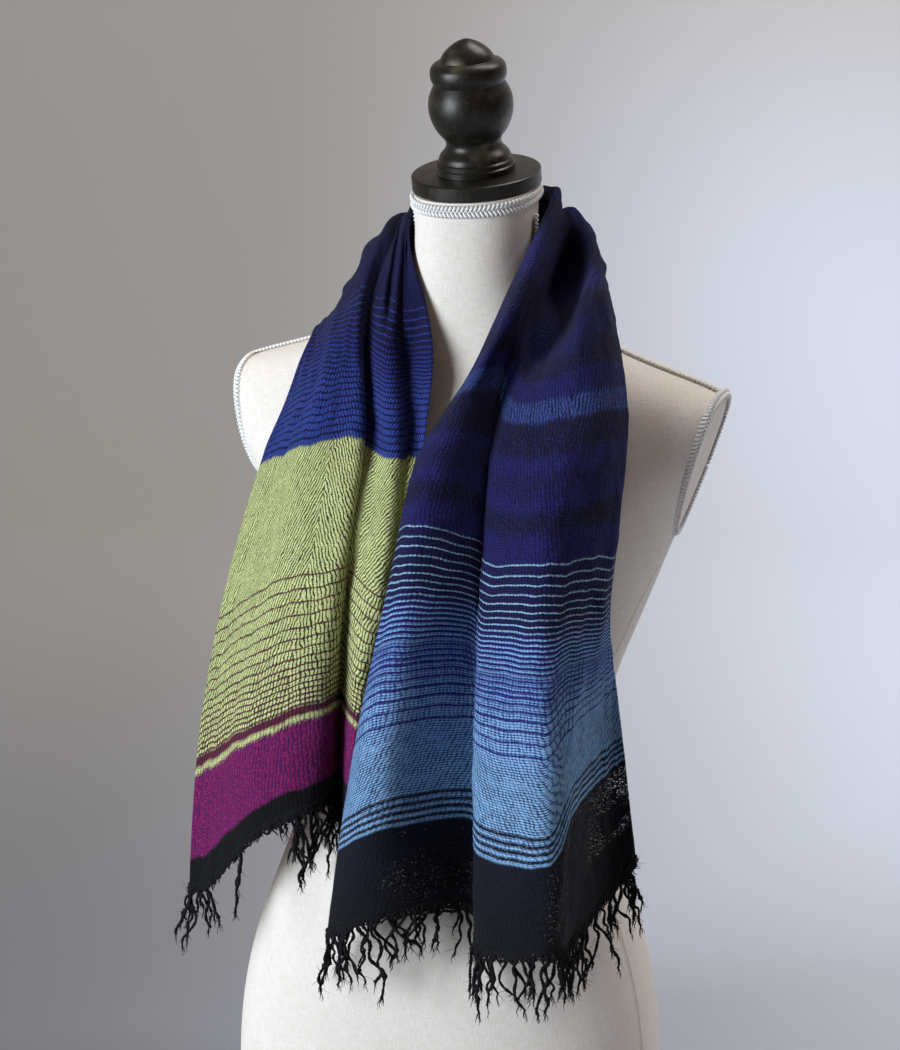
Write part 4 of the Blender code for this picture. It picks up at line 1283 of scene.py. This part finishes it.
def arm_braid_piece(side, name):
    """Braid round an arm plate, bent over the plate's edge."""
    slope = PLATE_SLOPE[side]
    up = np.array((side * slope, 0.0, 1.0)) / math.hypot(1.0, slope)
    outward = np.array((side, 0.0, -slope)) / math.hypot(1.0, slope)
    middle = np.array((side * PLATE_X[side], -3.0, PLATE_Z)) - up * 2.0
    way = up * np.sin(ONE_TURN)[:, None] + np.array((0.0, 1.0, 0.0)) * np.cos(ONE_TURN)[:, None]
    rim = middle + way * skin_reach(middle, way)[:, None]
    away = unit(np.cross(unit(np.gradient(rim, axis=0)), outward))
    away *= np.sign((away * (rim - middle)).sum(axis=1))[:, None]
    return gimp(name, rim, unit(away - outward), unit(away + outward), ARM_BRAID, 0.9)


def shoulder_braid_piece(side, name):
    """Braid over a shoulder seam, from the arm plate to the neck."""
    heights = np.concatenate([np.linspace(630, 700, 90), np.linspace(702, 774, 40)])
    limit = PLATE_X[side] + PLATE_SLOPE[side] * (PLATE_TOP - PLATE_Z) - 1.0
    half, _, _, centre = form_level(heights)
    seam = np.stack([side * half, centre - 2.5, heights], axis=1)[half <= limit]
    distance, outward = form_distance(seam)
    seam = seam + outward * (0.7 - distance)[:, None]
    across = unit(np.cross(outward, unit(np.gradient(seam, axis=0))))
    return gimp(name, seam, across, outward, SHOULDER_BRAID)


# ---------------------------------------------------------------- stage


def photo_camera():
    """Camera at the photograph's own place: turned to the form's left, above, and slightly rolled."""
    turn = Matrix.Rotation(CAMERA_TURN, 3, "Z")
    forward = turn @ Vector((0.0, math.cos(CAMERA_PITCH), -math.sin(CAMERA_PITCH)))
    level = turn @ Vector((1.0, 0.0, 0.0))
    over = level.cross(forward)
    right = level * math.cos(CAMERA_ROLL) + over * math.sin(CAMERA_ROLL)
    up = over * math.cos(CAMERA_ROLL) - level * math.sin(CAMERA_ROLL)
    ray = forward * FOCAL + right * (AIM_PIXEL[0] - IMAGE[0] / 2) - up * (AIM_PIXEL[1] - IMAGE[1] / 2)
    position = (Vector(AIM) - ray.normalized() * CAMERA_DISTANCE - Vector(BOX_MIDDLE)) * MM
    data = bpy.data.cameras.new("camera")
    data.sensor_fit = "VERTICAL"
    data.sensor_height = data.sensor_width = SENSOR
    data.lens = FOCAL / IMAGE[1] * SENSOR
    camera = add_object("camera", data)
    camera.matrix_world = Matrix.Translation(position) @ Matrix((right, up, -forward)).transposed().to_4x4()
    bpy.context.scene.camera = camera
    return turn


def area_light(name, turn, start, target, size, energy, colour):
    """Soft light placed by the camera's own right, depth and height, in metres."""
    data = bpy.data.lights.new(name, "AREA")
    data.shape = "RECTANGLE"
    data.size, data.size_y = size
    data.energy = energy
    data.color = colour
    lamp = add_object(name, data)
    lamp.location = turn @ Vector(start)
    lamp.rotation_mode = "QUATERNION"
    lamp.rotation_quaternion = (turn @ Vector(target) - lamp.location).to_track_quat("-Z", "Y")


def floor_finish(turn):
    """Matt greys with painted light and shade: darker at the left and near, lighter at the right, by the
    camera's own sides.
    """
    finish = Finish("studio_grey", 0.95)
    x, y, height = finish.parts(finish.here())
    right, back = turn @ Vector((1.0, 0.0, 0.0)), turn @ Vector((0.0, 1.0, 0.0))
    across = x * right.x + y * right.y
    depth = x * back.x + y * back.y
    left = finish.mix(finish.rise(depth, 0.1, 2.4), "floor", "floor far")
    left = finish.mix(finish.rise(height, 0.1, 2.0), left, "wall left")
    bright = finish.mix(finish.rise(height, 1.4, 0.2), "wall right", "floor right")
    colour = finish.mix(finish.rise(across, -0.5, 0.9), left, bright)
    near = finish.rise(depth, 0.6, -0.8) * finish.rise(height, 0.02, 0.3)
    finish.colour(finish.mix(near, colour, "wall near"))
    return finish


def studio(turn):
    """Round pale floor that sweeps up into a wall, with daylight from one side."""
    profile = [(0.0, 0.05), (0.0, 1.2), (0.0, FLOOR_REACH)]
    for angle in np.linspace(0.0, math.pi / 2, 13)[1:]:
        profile.append((SWEEP - SWEEP * math.cos(angle), FLOOR_REACH + SWEEP * math.sin(angle)))
    profile.append((WALL_TOP, FLOOR_REACH + SWEEP))
    bm = bmesh.new()
    stack_rings(bm, round_rings(profile, 96, -1), lid=False)
    mesh = from_bmesh("studio_floor", bm)
    mesh.shade_smooth()
    add_object("studio_floor", mesh)
    mesh.materials.append(floor_finish(turn).material)

    world = bpy.data.worlds.new("daylight")
    world.use_nodes = True
    background = world.node_tree.nodes["Background"]
    background.inputs[0].default_value = DAYLIGHT
    background.inputs[1].default_value = DAYLIGHT_STRENGTH
    bpy.context.scene.world = world
    for name, light in LIGHTS.items():
        area_light(name, turn, *light)
    bpy.context.scene.view_settings.view_transform = "Standard"


# ---------------------------------------------------------------- the scene


def dress(piece, finish, slot, *nodes):
    """Give a piece its finish and its body, and hide the nodes that it stands for."""
    piece.data.materials.append(finish.material)
    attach(piece, "root")
    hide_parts(*nodes)
    return piece


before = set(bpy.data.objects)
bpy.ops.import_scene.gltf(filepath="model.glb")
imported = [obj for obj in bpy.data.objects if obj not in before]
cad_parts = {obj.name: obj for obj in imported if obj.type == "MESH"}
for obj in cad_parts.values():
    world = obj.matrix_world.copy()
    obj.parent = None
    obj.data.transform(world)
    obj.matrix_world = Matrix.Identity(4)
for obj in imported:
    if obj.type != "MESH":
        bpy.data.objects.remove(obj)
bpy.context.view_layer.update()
studio(photo_camera())

for piece_name, low_end, high_end, slot_name, node_name in (
        ("cloth_green", GREEN_HEM, GREEN_SEAM, "shawl_green", "shawl_green_fall"),
        ("cloth_nape", GREEN_SEAM, BLUE_SEAM, "shawl_royal", "shawl_neck"),
        ("cloth_blue", BLUE_SEAM, BLUE_HEM, "shawl_blue", "shawl_blue_fall")):
    skin = cloth_finish(piece_name + "_weave", low_end, high_end)
    if high_end == BLUE_HEM:
        open_hem(skin, OPEN_HEM, BLUE_HEM)
    dress(cloth_piece(piece_name, low_end, high_end), skin, slot_name, node_name)

YARN = yarn_finish()
for piece_name, node_name, station, inward, clusters, seed in (
        ("yarns_green", "fringe_green", GREEN_HEM, 1.0, GREEN_CLUSTERS, 3),
        ("yarns_blue", "fringe_blue", BLUE_HEM, -1.0, BLUE_CLUSTERS, 8)):
    fringe = fringe_piece(piece_name, station, inward, clusters, seed)
    dress(fringe, YARN, "fringe_black", node_name)

dress(torso_piece(), linen_finish(), "form_linen", "form_torso")
BRAID = gimp_finish()
dress(neck_braid_piece(), BRAID, "braid_white", "neck_braid")
for sign, word in ((-1, "right"), (1, "left")):
    for part, braid_piece in (("arm", arm_braid_piece), ("shoulder", shoulder_braid_piece)):
        piece = braid_piece(sign, part + "_gimp_" + word)
        dress(piece, BRAID, "braid_white", part + "_braid_" + word)

DISC = turned("neck_disc", CAP_PROFILE, 128, SEAM)
dress(DISC, bronze_finish(0.25), "dark_bronze", "form_neck_cap")
KNOB = turned("turned_knob", fine_profile(FINIAL_PROFILE, 0.8, FINIAL_CORNERS), 96, 2 * SEAM + CAP_HEIGHT)
dress(KNOB, bronze_finish(0.5), "dark_bronze", "form_finial")
